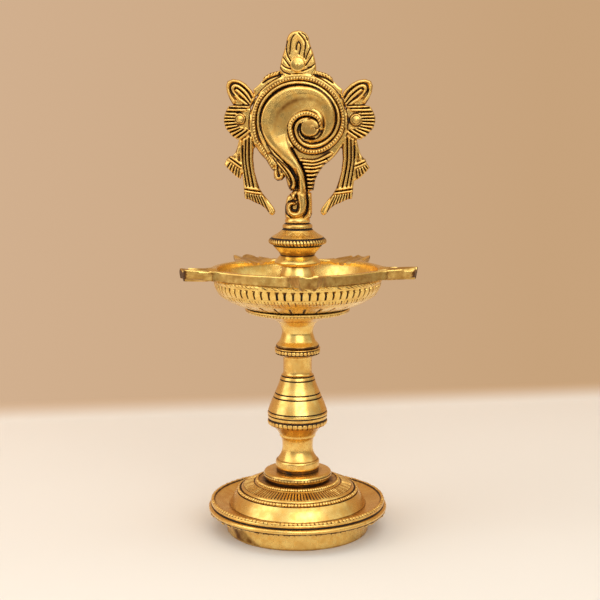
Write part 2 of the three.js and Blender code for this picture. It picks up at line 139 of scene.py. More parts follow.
# %% Joining one ring to the next
def alike(one, other):
    if len(one[0]) != len(other[0]):
        return np.ptp(one[0]) + np.ptp(other[0]) < 1e-6 and np.hypot(
            one[0][0] - other[0][0], one[1][0] - other[1][0]) < 1e-6
    return np.allclose(one[0], other[0]) and np.allclose(one[1], other[1])


def strip(first, few, second, many):
    if few == 1 and many == 1:
        return []
    if few == 1:
        return [[first, second + (k + 1) % many, second + k] for k in range(many)]
    if many == 1:
        return [[first + k, first + (k + 1) % few, second] for k in range(few)]
    flip = few > many
    if flip:
        first, few, second, many = second, many, first, few
    ratio = many // few
    assert ratio * few == many, (few, many)
    faces = []
    for i in range(few):
        near = [first + i, first + (i + 1) % few]
        far = [second + (i * ratio + k) % many for k in range(ratio, -1, -1)]
        face = near + far
        faces.append(face[::-1] if flip else face)
    return faces

# %% A turned body, ring by ring
class Turning:
    def __init__(self):
        self.rings = []

    def run(self, points, spacing, around, curved=False, relief=None, grime=0.0):
        if isinstance(points, str):  # text goes on from where the last stretch ended
            points = [self.end] + trace(points)
        self.end = points[-1]
        if curved:
            line = even_steps(smooth_line(points), spacing)
        else:
            spans = [even_steps(np.array(pair, float), spacing) for pair in zip(points, points[1:])]
            line = np.vstack([spans[0]] + [span[1:] for span in spans[1:]])
        ahead = np.gradient(line, axis=0)
        ahead /= np.maximum(np.hypot(ahead[:, 0], ahead[:, 1]), 1e-9)[:, None]
        share = np.linspace(0, 1, len(line))
        angle = np.linspace(0, 2 * np.pi, around, endpoint=False)
        for (radius, height), (dr, dz), s in zip(line, ahead, share):
            lift, dirt = relief(s, angle) if relief else (0.0, 0.0)
            dirt = np.broadcast_to(np.maximum(dirt, grime), angle.shape)
            r = np.broadcast_to(radius + dz * lift, angle.shape)
            z = np.broadcast_to(height - dr * lift, angle.shape)
            self.rings.append((r, z, dirt))

    def curve(self, points, spacing, around, **more):
        self.run(points, spacing, around, curved=True, **more)

    def mesh(self):
        rings = []
        for r, z, dirt in self.rings:
            if np.max(r) < 1e-6:
                r, z, dirt = r[:1], z[:1], dirt[:1]
            if not (rings and alike(rings[-1], (r, z))):
                rings.append((r, z, dirt))
        if alike(rings[0], rings[-1]):
            rings.pop()
        points, grime, starts, faces = [], [], [], []
        for r, z, dirt in rings:
            angle = np.linspace(0, 2 * np.pi, len(r), endpoint=False)
            starts.append(len(points))
            spots = np.stack([r * np.cos(angle), r * np.sin(angle), z], axis=1)
            points.extend(spots.tolist())
            grime.extend(dirt.tolist())
        for i in range(len(rings)):
            j = (i + 1) % len(rings)
            faces.extend(strip(starts[i], len(rings[i][0]), starts[j], len(rings[j][0])))
        return points, faces, grime

# %% [markdown]
# ## Beads, grooves and ticks
#
# The rows of beads on this lamp were struck with a punch, one after another, so no two are
# quite alike. Round beads placed one by one would be heavy and too perfect. A relief that rises
# and falls with the angle costs nothing extra, and a seeded random number per bead makes some
# taller and some shorter. The same idea gives grooves, radial ticks and flutes.

# %% Grooves and beads
def repeats(angle, count, shift=0.0):
    turn = angle / (2 * np.pi) * count + shift
    inner = turn - np.floor(turn)
    return np.floor(turn).astype(int) % count, 2 * inner - 1


def groove(depth):
    def relief(s, angle):
        bowl = 1 - (2 * s - 1) ** 2
        return np.full(angle.shape, -depth * bowl), np.full(angle.shape, min(1.0, 1.35 * bowl))
    return relief


def beads(count, height, seed, gap=0.9, square=2.6, uneven=0.3):
    rng = np.random.default_rng(seed)
    tall = 1 - uneven * rng.random(count)
    drift = 0.16 * (rng.random(count) - 0.5)
    shade = 0.25 * rng.random(count)

    def relief(s, angle):
        which, t = repeats(angle, count)
        t = t + drift[which]
        inside = 1 - np.abs(t) ** square - abs(2 * s - 1) ** square
        dome = np.clip(inside, 0, 1) ** 0.5
        dirt = np.clip(1 - dome * 1.7, 0, 1) * gap + shade[which] * 0.3
        return height * dome * tall[which], dirt
    return relief

# %% Bars, stains and ticks
def bars(count, height, seed, gap=0.6):
    rng = np.random.default_rng(seed)
    tall = 0.7 + 0.3 * rng.random(count)
    drift = 0.16 * (rng.random(count) - 0.5)

    def relief(s, angle):
        which, t = repeats(angle, count)
        t = np.abs(t + drift[which])
        bar = np.clip((0.78 - t) / 0.3, 0, 1) * min(1.0, min(s, 1 - s) / 0.08)
        return height * bar * tall[which], gap * (1 - bar)
    return relief


def stains(depth, grime, seed):
    rng = np.random.default_rng(seed)
    turns, starts = np.arange(2, 9), 2 * np.pi * rng.random(7)

    def relief(s, angle):
        wave = sum(np.sin(k * angle + a + 2.2 * s * k / 5) for k, a in zip(turns, starts)) / 2.6
        patch = np.clip((wave + 0.3 - 0.8 * s) / 1.6, 0, 1)
        patch = patch**2 * (3 - 2 * patch)
        return -depth * patch, grime * patch
    return relief


def ticks(count, depth, seed, width=0.42, fade=0.12):
    rng = np.random.default_rng(seed)
    drift = 0.2 * (rng.random(count) - 0.5)
    strong = 0.55 + 0.45 * rng.random(count)

    def relief(s, angle):
        which, t = repeats(angle, count)
        t = np.abs(t + drift[which])
        cut = np.clip(1 - t / width, 0, 1) ** 0.7
        ends = np.clip(min(s, 1 - s) / fade, 0, 1)
        cut = cut * ends * strong[which]
        return -depth * cut, np.clip(cut * 1.2, 0, 1)
    return relief

# %% [markdown]
# ## The foot
#
# A heavy hollow casting keeps the lamp from tipping. From the table up it has a plain ring, a
# wide flange with a roughly hammered lower edge, a dark groove with a row of beads over it, a
# dished plate to catch drips, and a dome with two more bead rows and a band of radial ticks. All
# of it is one outline on the lathe, walked in stretches so that each band has its own relief.

# %% The foot's outline
foot = Turning()
foot.run([(4.3, 13), (9.5, 13), (10, 23)], 4, 48)
foot.curve("20 22.6, 28 20.6, 34 13.5, 37.3 8", 2, 96, grime=0.5)
foot.run("37.3 0.6, 37.9 0, 39.6 0", 2, 192, grime=0.35)
foot.curve("40.2 0.3, 40.3 1", 0.4, 192, grime=0.2)
foot.curve("40 5.5, 40.2 9.5, 40.6 11", 0.7, 576, relief=stains(0.05, 0.42, seed=2))
foot.run("40.9 11.5, 44 11.6, 48.6 11.7", 1.1, 192, grime=0.45)
foot.curve("49.6 11.9, 50.3 12.6", 0.3, 1152,
           relief=beads(110, 1.0, seed=3, uneven=0.95, gap=1.0))
foot.curve("50.8 13.3, 50.75 14.2, 50.2 14.8, 49.6 15", 0.45, 192)
foot.run("49.1 15.1, 49 15.7, 49.2 15.9", 0.4, 192, grime=0.9)
foot.curve("49.4 16.3, 49.45 16.9, 49.2 17.3", 0.3, 192)
foot.curve("48.5 18, 47.5 18", 0.24, 1152, relief=beads(132, 0.8, seed=5, gap=0.95, square=3.4))
foot.curve("46.9 17.3, 45.2 16.6, 43 16, 40.6 15.4, 39 15.1", 0.9, 192)
foot.run("39 15.4", 0.3, 192, grime=0.6)
foot.curve("38.3 16.6, 37.3 18.4, 36.2 20.4, 34.7 22.5", 0.7, 192)
foot.run("34.4 22.8, 34.1 22.9", 0.15, 192, relief=groove(0.45))
foot.curve("33.7 23.8, 32.9 24.1", 0.2, 1152,
           relief=beads(120, 0.75, seed=7, gap=0.95, square=3.4))
foot.run("32.2 24.5", 0.15, 192, relief=groove(0.55))
foot.curve("31.8 25.1, 31.2 25.5", 0.25, 192)
foot.run("24.6 27.6", 0.35, 1152, relief=bars(104, 0.5, seed=11, gap=0.8))
foot.run("23.7 28.2", 0.4, 192)
foot.curve("23.1 29.1, 22.2 29.3", 0.2, 960, relief=beads(104, 0.6, seed=13, gap=0.95))
# Round the seat ring the land darkens towards it: grime, and painted shade in the gap under the
# ring's edge.
foot.run("21.4 28.9, 20.6 28.8", 0.3, 192, grime=0.3)
foot.run("19.9 29", 0.3, 192, grime=0.4)
foot.run("17.5 29.2, 17.5 30, 4.3 30, 4.3 13", 3, 96, grime=0.75)
lamp_foot = piece("lamp_foot", *foot.mesh(), "foot", "aged_brass", ["base"])

# %% [markdown]
# ## The seat ring and the stem
#
# A loose ring sits between foot and stem, dark where the polish cloth can't reach. The stem is a
# baluster: a plain drum, a neck, a belly with a row of square beads under it and three pairs of
# fine dark lines cut into its slope, and a plain shaft. A blind hole at each end takes a stud.

# %% The ring under the stem
ring = Turning()
ring.run([(4.3, 30.05), (17.6, 30.05)], 4, 96, grime=0.9)
ring.curve("18.7 30.5, 19.2 31.6", 0.3, 768, relief=stains(0.1, 1.0, seed=4))
ring.curve("19.3 32.3, 19.2 33", 0.25, 768, relief=beads(64, 0.25, seed=6, uneven=0.9))
ring.curve("18.8 34, 17.9 34.45", 0.3, 192)
ring.run("16.4 34.5, 14.6 34.5", 0.7, 192)
ring.run("12.8 34.5", 0.6, 192, grime=0.15)
ring.run("4.3 34.5, 4.3 30.05", 3, 96, grime=0.9)
seat_ring = piece("seat_ring_turned", *ring.mesh(), "seat", "aged_brass", ["seat_ring"])

# %% The stem
def cut_line(body, end):
    body.run(end, 0.16, 192, relief=groove(0.5))


stem = Turning()
stem.run([(0, 52.3), (4.3, 52.3), (4.3, 34.5), (11.4, 34.5)], 4, 96, grime=0.6)
stem.run("12 34.7, 11.9 35.6, 12 36.3", 0.25, 576, relief=stains(0.15, 1.3, seed=8), grime=0.62)
stem.curve("12.35 36.9, 12.4 38.4, 12.3 40.1, 11.9 40.9", 0.5, 96)
stem.run("11.5 41", 0.2, 96, grime=0.35)
stem.curve("10.4 42.6, 9.4 44.6, 8.75 47.2, 8.7 50.8, 9.2 53.2, 9.8 54.2", 0.7, 96)
stem.run("10.15 54.5, 10.25 55.1, 10.2 55.4", 0.2, 96)
stem.curve("10.7 56.6, 12 58.4, 13.6 60, 15.2 61.1", 0.5, 96, grime=0.12)
stem.run("15.6 61.4", 0.2, 192, grime=0.8)
stem.curve("16.3 62.6, 16.5 64.2", 0.25, 576,
           relief=beads(36, 0.65, seed=17, gap=1.0, square=3.0))
cut_line(stem, "16.6 65.1")
stem.curve("16.85 65.9, 16.85 66.7", 0.4, 192)
cut_line(stem, "16.9 67.5")
stem.curve("16.95 68.2, 16.75 68.9", 0.4, 192)
cut_line(stem, "16.6 69.7")
stem.curve("16.1 71.2, 15.4 73.2, 14.7 75, 13.8 77", 0.8, 192)
cut_line(stem, "13.5 77.8")
stem.curve("13.25 78.6, 12.9 79.3", 0.4, 192)
cut_line(stem, "12.6 80.1")
stem.curve("11.5 82.6, 10.6 85, 10 86.9", 0.8, 192)
cut_line(stem, "9.8 87.7")
stem.curve("9.6 88.4, 9.3 89.1", 0.4, 192)
cut_line(stem, "9.1 89.9")
stem.curve("8.4 90.4, 8.05 91.5, 8 93.5, 8 97, 8.1 100.3", 0.8, 192)
stem.run("8.2 100.8, 4.3 100.8", 1.5, 96, grime=0.8)
stem.run("4.3 88, 0 88", 4, 96, grime=0.5)
turned_stem = piece("turned_stem", *stem.mesh(), "stem", "aged_brass", ["stem"])

# %% [markdown]
# ## Collar, support, boss and knop
#
# More turned pieces are threaded on the studs: a collar with a band of deep square beads, a
# trumpet shaped support that opens into a saucer with a beaded edge, a smooth boss that clamps
# the bowl from inside, and a knop with a band of small leaves between two black lines. They are
# separate meshes, since the real ones unscrew and turn on their own.

# %% The beaded collar
collar = Turning()
collar.run([(4.3, 100.85), (9.6, 100.85)], 3, 96, grime=0.8)
collar.curve("10.3 101.2, 10.9 101.5", 0.25, 384, relief=beads(32, 0.3, seed=19, uneven=0.8))
collar.curve("11.9 101.8, 12.4 102.1", 0.3, 192)
collar.run("12.1 102.5", 0.15, 192, grime=1.0)
collar.run("12.2 103.6, 12.1 104.7", 0.24, 576,
           relief=beads(34, 0.75, seed=23, gap=1.0, square=2.3))
collar.run("12.3 105", 0.15, 192, grime=1.0)
collar.curve("12.85 105.15, 12.8 105.55, 12.2 105.75", 0.25, 192)
collar.run("11.9 106, 4.3 106, 4.3 100.85", 3, 96, grime=0.95)
beaded_collar = piece("collar_with_beads", *collar.mesh(), "collar", "aged_brass",
                      ["beaded_collar"])

# %% The support and its saucer
support = Turning()
support.run([(0, 114.8), (4.3, 114.8), (4.3, 106), (11.6, 106)], 4, 96, grime=0.7)
support.run("12.1 106.4, 12.1 107", 0.3, 96, grime=0.6)
support.curve("""11.4 107.9, 10.1 109.5, 9.3 111.8, 8.7 114.1, 9 116.4, 9.8 118.6, 11.2 120.2,
              12.2 121.2""", 0.6, 96)
support.run("12.9 121.5", 0.2, 96, grime=0.3)
support.curve("17 122.9, 21 123.9, 24.6 124.9, 27.7 125.9", 0.9, 96)
support.curve("28.8 126.5, 29.3 127.3", 0.2, 576, relief=beads(96, 0.22, seed=29, gap=0.5))
support.curve("29.4 128, 29 128.5, 28.4 128.6", 0.3, 96)
support.run("28.1 127.5, 3.3 127.5, 3.3 117, 0 117", 4, 96, grime=0.8)
turned_support = piece("turned_support", *support.mesh(), "bowl", "bright_brass",
                       ["bowl_support"])

# %% The boss inside the bowl
boss = Turning()
boss.run([(3.3, 130.7), (14.0, 130.7)], 4, 96, grime=0.5)
boss.curve("13.6 131.6, 12.6 133.2, 11.6 137, 10.7 142, 9.6 147.2, 8.8 149.6, 8.3 151.2", 0.9, 96)
boss.curve("8.3 151.5, 9.3 151.8", 0.3, 96, grime=0.35)
boss.curve("11.2 152.2, 12.5 153, 12.75 153.9, 12.1 155, 10.9 156.3, 9.8 157.5", 0.45, 192)
boss.run("9.45 157.6", 0.3, 192, grime=0.5)
boss.run("9.4 158, 3.3 158, 3.3 130.7", 3, 96, grime=1.0)
turned_boss = piece("turned_boss", *boss.mesh(), "boss", "bright_brass", ["finial_boss"])

# %% The knop and its band of leaves
def leaves(count, height, seed):
    rng = np.random.default_rng(seed)
    tall = 0.7 + 0.3 * rng.random(count)

    def relief(s, angle):
        which, t = repeats(angle, count, 0.45 * s)
        blade = np.clip(1 - (np.abs(t) / (0.35 + 0.6 * math.sin(math.pi * s))) ** 2, 0, 1)
        vein = np.clip(1 - np.abs(t) / 0.16, 0, 1) * math.sin(math.pi * s)
        lift = height * (blade ** 0.5 * tall[which] - 0.45 * vein) * math.sin(math.pi * s) ** 0.4
        return lift, 0.75 * np.clip(0.95 - 1.4 * blade + 0.9 * vein, 0, 1)
    return relief


def faint_petals(count, depth):
    def relief(s, angle):
        t = np.abs(repeats(angle, count)[1])
        edge = np.clip(1 - np.abs(t - (1 - s) ** 0.6) / 0.14, 0, 1)
        edge = edge * np.clip(min(s, 1 - s) / 0.1, 0, 1)
        return -depth * edge, 0.35 * edge
    return relief


knop = Turning()
knop.run([(3.3, 158), (9.6, 158)], 3, 96, grime=1.0)
knop.run("9.9 158.6, 10.5 159.5", 0.3, 96, grime=0.35)
knop.curve("11.6 160.7, 12.8 162.1, 13.4 162.8", 0.5, 192)
knop.run("14.9 164", 0.2, 192, grime=1.0, relief=groove(0.3))
knop.curve("15.8 164.8, 15.9 165.9, 15.3 167", 0.22, 960, relief=leaves(52, 0.26, seed=31))
knop.run("14.6 167.7", 0.2, 192, grime=1.0, relief=groove(0.4))
knop.run("13.6 168.4", 0.4, 192)
knop.run("11.6 169.5, 9.6 171", 0.3, 576, relief=faint_petals(12, 0.12))
knop.run("8.8 171.7", 0.4, 192)
knop.run("8.2 172.3", 0.4, 192, grime=1.0)
knop.run("8 172.6, 3.3 172.6, 3.3 158", 3, 96, grime=1.0)
turned_knop = piece("turned_knop", *knop.mesh(), "finial", "bright_brass", ["knop"])

# %% [markdown]
# ## The hidden studs
#
# Three steel studs hold the lamp together, and they come into sight when it is unscrewed. A
# screw modifier could sweep the thread, but the lathe is already here: lifting each ring by how
# far it is from the thread's ridge at that angle gives a true helix of the right pitch.

# %% Threaded studs
def thread(length, pitch, depth):
    def relief(s, angle):
        turn = s * length / pitch - angle / (2 * np.pi)
        ridge = np.abs(2 * (turn - np.floor(turn)) - 1)
        ends = min(1.0, min(s, 1 - s) * length / pitch)
        return -depth * (1 - ridge * ends), 0.55 * (1 - ridge)
    return relief


def stud(name, node, body, radius, bottom, top, pitch):
    depth = 0.6 * pitch
    chamfer = 0.8
    rod = Turning()
    rod.run([(0, bottom), (radius - depth, bottom)], 2, 36, grime=0.2)
    foot_edge = (radius, bottom + chamfer)
    head_edge = (radius, top - chamfer)
    length = top - bottom - 2 * chamfer
    rod.run([(radius - depth, bottom), (radius - depth, bottom + 0.2)], 1, 36)
    rod.run([foot_edge, head_edge], pitch / 8, 36, relief=thread(length, pitch, depth))
    rod.run([(radius - depth, top - 0.2), (radius - depth, top), (0, top)], 2, 36, grime=0.2)
    return piece(name, *rod.mesh(), body, "steel", [node], sharp=70)


lower_stud = stud("stud_under_the_stem", "stem_stud", "stem", 4, 17.5, 52.0, 1.25)
middle_stud = stud("stud_over_the_stem", "bowl_stud", "bowl", 4, 89.0, 114.5, 1.25)
upper_stud = stud("stud_of_the_finial", "finial_stud", "finial", 3, 118.0, 180.0, 1.0)

# %% [markdown]
# ## The bowl
#
# The bowl is one casting: a round dish with a chased outside and a plain rim that runs out into
# five troughs. Joining five blocks to a dish with booleans would leave hard seams. Here the
# lathe is used once more, but near the rim each ring follows the bowl's real plan, so the wall
# itself flares out to each spout, meets it in a crease and comes back, as it does in the casting.
# The real bowl sits a little crooked, front up, so its rim is made uneven. Lamp black lies in the
# ends of the troughs.

# %% The plan of the rim with its five spouts
BOWL_AROUND = 1056
RIM = 47.6
RIM_INSIDE = 45.2
SPOUT_ROOT = 45.2
SPOUT_REACH = 66.8
SPOUT_HALF_ROOT = 11.0
SPOUT_HALF_TIP = 5.0
SPOUT_LIFT = 1.5
FRONT_LIFT = 2.6
BACK_LIFT = 0.4
BACK_TROUGH = 0.35
SPOUT_WALL = 1.5
SPOUT_ANGLES = [-85, -14, 54, 121, 201]
FLARE = 5.6
CREASE_AT = 10.0

bowl_angle = np.linspace(0, 360, BOWL_AROUND, endpoint=False)
off_spout = np.stack([(bowl_angle - a + 180) % 360 - 180 for a in SPOUT_ANGLES])
off_spout = off_spout[np.abs(off_spout).argmin(axis=0), np.arange(BOWL_AROUND)]
beside = np.abs(off_spout)
off_spout = np.radians(off_spout)
taper = (SPOUT_HALF_ROOT - SPOUT_HALF_TIP) / (SPOUT_REACH - SPOUT_ROOT)


def half_width(x, inset):
    return SPOUT_HALF_ROOT - inset - taper * (x - SPOUT_ROOT)


def plan_radius(rim, inset, reach=SPOUT_REACH, flare=FLARE):
    side = half_width(0, inset) / (np.abs(np.sin(off_spout)) + taper * np.cos(off_spout))
    spout = np.minimum(side, reach / np.cos(off_spout))
    wall = rim + flare * np.exp(-np.maximum(beside - CREASE_AT, 0) / 5.5)
    return np.where(beside < CREASE_AT - 2, spout, np.maximum(spout, wall))


at_back = np.sin(bowl_angle) > 0.5
at_front = np.abs(bowl_angle - SPOUT_ANGLES[0] - 360) < 15
foot_lift = np.where(at_back, BACK_LIFT, SPOUT_LIFT)
top_lift = np.where(at_front, FRONT_LIFT, foot_lift)
trough_share = np.where(at_back, BACK_TROUGH, 1.0)


def rise(x, lift):
    return lift * np.clip((x - SPOUT_ROOT) / (SPOUT_REACH - SPOUT_ROOT), 0, 1.05)


def in_spout(radius):
    return radius * np.cos(off_spout), np.abs(radius * np.sin(off_spout))


def channel(radius, plain):
    x, y = in_spout(radius)
    width = np.maximum(half_width(x, SPOUT_WALL), 0.5)
    deep = np.interp(x, [40, SPOUT_ROOT, SPOUT_REACH], [3.0, 2.2, 0.9]) * trough_share
    hollow = np.clip(1 - (y / width) ** 2, 0, 1) ** 1.6
    return plain + rise(x, top_lift) - deep * hollow

# %% The chased outside of the dish
def arched_flutes(count, depth, seed):
    rng = np.random.default_rng(seed)
    drift = 0.1 * (rng.random(count) - 0.5)
    slot_width = 0.12 + 0.05 * rng.random(count)

    def relief(s, angle):
        which, t = repeats(angle, count)
        t = np.abs(t) + drift[which]
        half = 1 - slot_width[which]
        if s > 0.58:
            half = half * math.sqrt(max(0.0, 1 - ((s - 0.58) / 0.48) ** 2))
        inside = np.clip((half - t) / 0.12, 0, 1)
        slot = 1 - inside
        ends = min(1.0, min(s, 1 - s) / 0.06)
        edge_shade = 0.5 * np.clip((s - 0.62) / 0.25, 0, 1)
        lift = -depth * slot * ends + 0.2 * depth * inside * ends
        return lift, slot * ends * (1 - edge_shade)
    return relief


def slanted_beads(count, height, slant, seed):
    rng = np.random.default_rng(seed)
    tall = 1 - 0.8 * rng.random(count)
    drift = 0.5 * (rng.random(count) - 0.5)

    def relief(s, angle):
        which, t = repeats(angle, count, slant * (s - 0.5))
        t = t + drift[which]
        inside = 1 - np.abs(t) ** 2.4 - abs(2 * s - 1) ** 3
        bead = np.clip(inside, 0, 1) ** 0.5
        between = np.clip(1.2 - 1.6 * bead, 0, 1) * (0.4 + 0.6 * tall[which])
        return height * bead * tall[which], between * min(1.0, min(s, 1 - s) / 0.2)
    return relief

# %% The dish up to its rim
dish = Turning()
dish.run([(3.3, 130.7), (3.3, 127.5), (27.6, 127.5)], 4, 132, grime=0.8)
dish.run("28 128.2, 28.6 128.8", 0.3, 132, grime=0.9)
dish.run("29.6 129.15", 0.3, 132, grime=1.0)
dish.curve("32.2 130.05, 35.2 131.2, 38.9 132.9", 0.7, 528,
           relief=ticks(28, 0.9, seed=37, width=0.2, fade=0.03))
dish.curve("40.5 133.9, 41.9 134.9", 0.8, 264)
dish.curve("43.4 136.1, 44.5 137.5", 0.3, 1056, relief=slanted_beads(150, 0.4, 0.4, seed=41))
dish.run("44.8 138", 0.16, 1056, grime=0.1)
dish.curve("46 140.3, 46.6 143", 0.38, 1056, relief=arched_flutes(66, 0.75, seed=43))
dish.curve("46.8 143.4, 46.85 143.7", 0.25, 1056)
dish.curve("47.15 144.6, 47.1 145.4", 0.22, 1056, relief=slanted_beads(110, 0.5, 1.4, seed=47))
dish.run("47.05 145.85", 0.15, 1056, grime=0.45)

# %% Out along the spouts
WALL_FOOT = 145.9
RIM_TOP = 150.9
BAND_TOP_RADIUS = 47.0
UNDER_ROUND = 2.0
burnt = np.where(at_front, 0.15, 1.0)
crease = np.exp(-((beside - CREASE_AT) / 0.9) ** 2)


def belly(x, y):
    return 0.7 * np.clip(1 - (y / half_width(x, 0)) ** 2, 0, 1) * np.clip((x - 46) / 5, 0, 1)


under = plan_radius(RIM, UNDER_ROUND, SPOUT_REACH - 0.9)
for share in (0.02, 0.2, 0.4, 0.6, 0.8, 0.93, 1.0):
    r = BAND_TOP_RADIUS + share * (under - BAND_TOP_RADIUS)
    x, y = in_spout(r)
    dish.rings.append((r, WALL_FOOT + 0.4 * share + rise(x, foot_lift) - belly(x, y),
                       0.3 * share + 0.15 * crease))
for share in (0.06, 0.16, 0.3, 0.46, 0.62, 0.78, 0.9, 0.96, 1.0):
    inset = UNDER_ROUND * (1 - math.sqrt(1 - (1 - share) ** 2))
    edge = {0.96: 0.12, 1.0: 0.4}.get(share, 0.0)
    r = plan_radius(RIM - 0.1 * share - edge, inset + edge,
                    SPOUT_REACH - 0.45 * inset - edge)
    x, y = in_spout(r)
    foot_height = WALL_FOOT + 0.4 + rise(x, foot_lift) - belly(x, y)
    top_height = np.minimum(RIM_TOP + rise(x, top_lift), channel(r, RIM_TOP))
    end_face = np.clip((x - SPOUT_REACH + 1.4) / 0.6, 0, 1) * (share < 0.97) * burnt
    dish.rings.append((r, foot_height + share * (top_height - foot_height),
                       0.3 * (share < 0.9) + 0.12 * crease + 0.4 * end_face))

# %% Over the rim and down the inside
RIM_EDGE = 0.4
MOUTH = 44.8
SOOT = 0.26
outer_edge = plan_radius(RIM - RIM_EDGE, RIM_EDGE, SPOUT_REACH - RIM_EDGE)
inner_edge = plan_radius(RIM_INSIDE, SPOUT_WALL, SPOUT_REACH + 3, flare=1.4)
inner_edge = np.minimum(inner_edge, outer_edge - 0.35)
for share in (0.0, 0.05, 0.12, 0.22, 0.36, 0.52, 0.7, 0.86, 1.0):
    r = inner_edge + share * (MOUTH - inner_edge)
    soot = SOOT * np.clip((in_spout(r)[0] - 47) / 4, 0, 1)
    dish.rings.append((r, channel(r, RIM_TOP - 0.9 * share**2), 0.05 * crease + soot))
for r, z in [(44.9, 149.0), (44.9, 147.6), (44.6, 146.0), (44.0, 144.4)]:
    edge_there = channel(np.full(BOWL_AROUND, MOUTH), RIM_TOP - 0.9) - 0.15 * (150 - z)
    dish.rings.append((np.full(BOWL_AROUND, r), np.minimum(z, edge_there),
                       np.zeros(BOWL_AROUND)))
dish.curve(trace("43.4 142.8, 41.9 140.2, 39.4 137.5, 36 135, 32 132.6, 28 131, 26 130.7"),
           1.0, 264)
dish.run("16 130.7", 2, 132)
dish.run("14.2 130.7, 3.3 130.7", 1.5, 132, grime=0.5)

# %% The crooked rim: a millimetre up in front and down behind, and less in the band below
RIM_LEAN = 0.02
BAND_LEAN = 0.3
for i, (r, z, dirt) in enumerate(dish.rings):
    forward = -r * np.sin(np.linspace(0, 2 * np.pi, len(r), endpoint=False))
    high = BAND_LEAN + (1 - BAND_LEAN) * np.clip((z - WALL_FOOT) / 4, 0, 1)
    dish.rings[i] = (r, z + RIM_LEAN * forward * high * np.clip((r - 30) / 12, 0, 1), dirt)
bowl = piece("bowl_with_five_spouts", *dish.mesh(), "bowl", "bright_brass", ["bowl"], sharp=42)

# %% [markdown]
# ## The emblem as a relief
#
# The conch, its disc, the ribbon bows and the crown were carved in wax and cast in one go, with
# fine cuts filled by black patina. Sculpting it or bending a hundred tubes would both work, but
# the tubes would lie on the plates rather than grow out of them. A medallist thinks in heights,
# and so does this part: a fine sheet holds how far the metal stands out at each spot, every form
# raises or cuts it, and the sheet is used for the front and, mirrored, for the back.

# %% The sheet of heights
DISC_CENTRE = 230.2
GRID = 0.33
SHEET_LEFT, SHEET_RIGHT = -43.6, 43.7
SHEET_BOTTOM, SHEET_TOP = -53.4, 51.0
u_marks = np.arange(SHEET_LEFT, SHEET_RIGHT, GRID)
v_marks = np.arange(SHEET_BOTTOM, SHEET_TOP, GRID)
sheet_u, sheet_v = np.meshgrid(u_marks, v_marks)
sheet_height = np.zeros(sheet_u.shape)
sheet_inside = np.full(sheet_u.shape, -9.0)
sheet_dark = np.zeros(sheet_u.shape)


def window(spots, margin):
    low = spots[:, :2].min(axis=0) - margin
    high = spots[:, :2].max(axis=0) + margin
    columns = slice(*np.searchsorted(u_marks, [low[0], high[0]]))
    rows = slice(*np.searchsorted(v_marks, [low[1], high[1]]))
    return rows, columns


def nearest(path, where):
    u, v = sheet_u[where], sheet_v[where]
    near = np.full(u.shape, 1e3)
    found = np.zeros((4,) + u.shape)
    length = 0.0
    for start, end in zip(path, path[1:]):
        step = end - start
        size = math.hypot(step[0], step[1])
        if size < 1e-6:
            continue
        t = ((u - start[0]) * step[0] + (v - start[1]) * step[1]) / size**2
        t = np.clip(t, 0, 1)
        du, dv = u - start[0] - t * step[0], v - start[1] - t * step[1]
        away = np.hypot(du, dv)
        closer = away < near
        near[closer] = away[closer]
        side = np.sign(step[0] * dv - step[1] * du)
        for k, value in enumerate((start[2] + t * step[2], start[3] + t * step[3],
                                   length + t * size, side)):
            found[k][closer] = value[closer]
        length += size
    return near, found

# %% Strokes
def raise_to(sheet, where, values):
    sheet[where] = np.maximum(sheet[where], values)


def stroke(points, curved=True, pitch=0.0, notch=0.0, silhouette=False):
    spots = np.array(points, float)
    path = smooth_line(spots, 6) if curved else spots
    where = window(path, spots[:, 2].max() + 0.8)
    near, (width, height, along, side) = nearest(path, where)
    q = near / width
    section = height - 1.25 * width * (1 - np.sqrt(np.clip(1 - q**2, 0, 1)))
    if pitch:
        beat = 0.5 + 0.5 * np.cos(2 * np.pi * along / pitch)
        inner = np.clip(1.3 - q * 1.5, 0, 1)
        section -= notch * beat**2 * inner
        raise_to(sheet_dark, where, 0.85 * beat**3 * inner * (q < 1))
    sheet_height[where] = np.where(q < 1, np.maximum(sheet_height[where], section),
                                   sheet_height[where])
    if silhouette:
        raise_to(sheet_inside, where, width - near)

# %% Ribs, cuts and plates
def ribs(width, height, *lines):
    for line in lines:
        stroke([(u, v, width, height) for u, v in line], curved=len(line) > 2)


def cut(points, width, depth, dark=1.0):
    path = np.array([(u, v, width, depth) for u, v in points], float)
    path = smooth_line(path, 6) if len(path) > 2 else path
    where = window(path, 2 * width)
    shape = np.clip(1 - (nearest(path, where)[0] / width) ** 2, 0, 1)
    sheet_height[where] -= depth * shape
    raise_to(sheet_dark, where, dark * np.minimum(1, 1.6 * shape))


def plate(outline, height, curved=False):
    corners = np.array([(u, v, 0, 0) for u, v in outline + outline[:1]], float)
    path = smooth_line(corners, 6) if curved else corners
    where = window(path, 1.5)
    u, v = sheet_u[where], sheet_v[where]
    near = nearest(path, where)[0]
    crossed = np.zeros(u.shape, bool)
    for (u0, v0), (u1, v1) in zip(path[:, :2], path[1:, :2]):
        if v0 != v1:
            meets = (v0 > v) != (v1 > v)
            crossed ^= meets & (u < u0 + (v - v0) / (v1 - v0) * (u1 - u0))
    signed = np.where(crossed, near, -near)
    raise_to(sheet_inside, where, signed)
    sheet_height[where] = np.where(signed > -0.4, np.maximum(sheet_height[where], height),
                                   sheet_height[where])

# %% Domes, both sides at once, and what lies between two ribs
def dome(u, v, radius_u, radius_v, foot, top):
    away = ((sheet_u - u) / radius_u) ** 2 + ((sheet_v - v) / radius_v) ** 2
    raised = foot + (top - foot) * np.sqrt(np.clip(1 - away, 0, 1))
    sheet_height[away < 1] = np.maximum(sheet_height, raised)[away < 1]


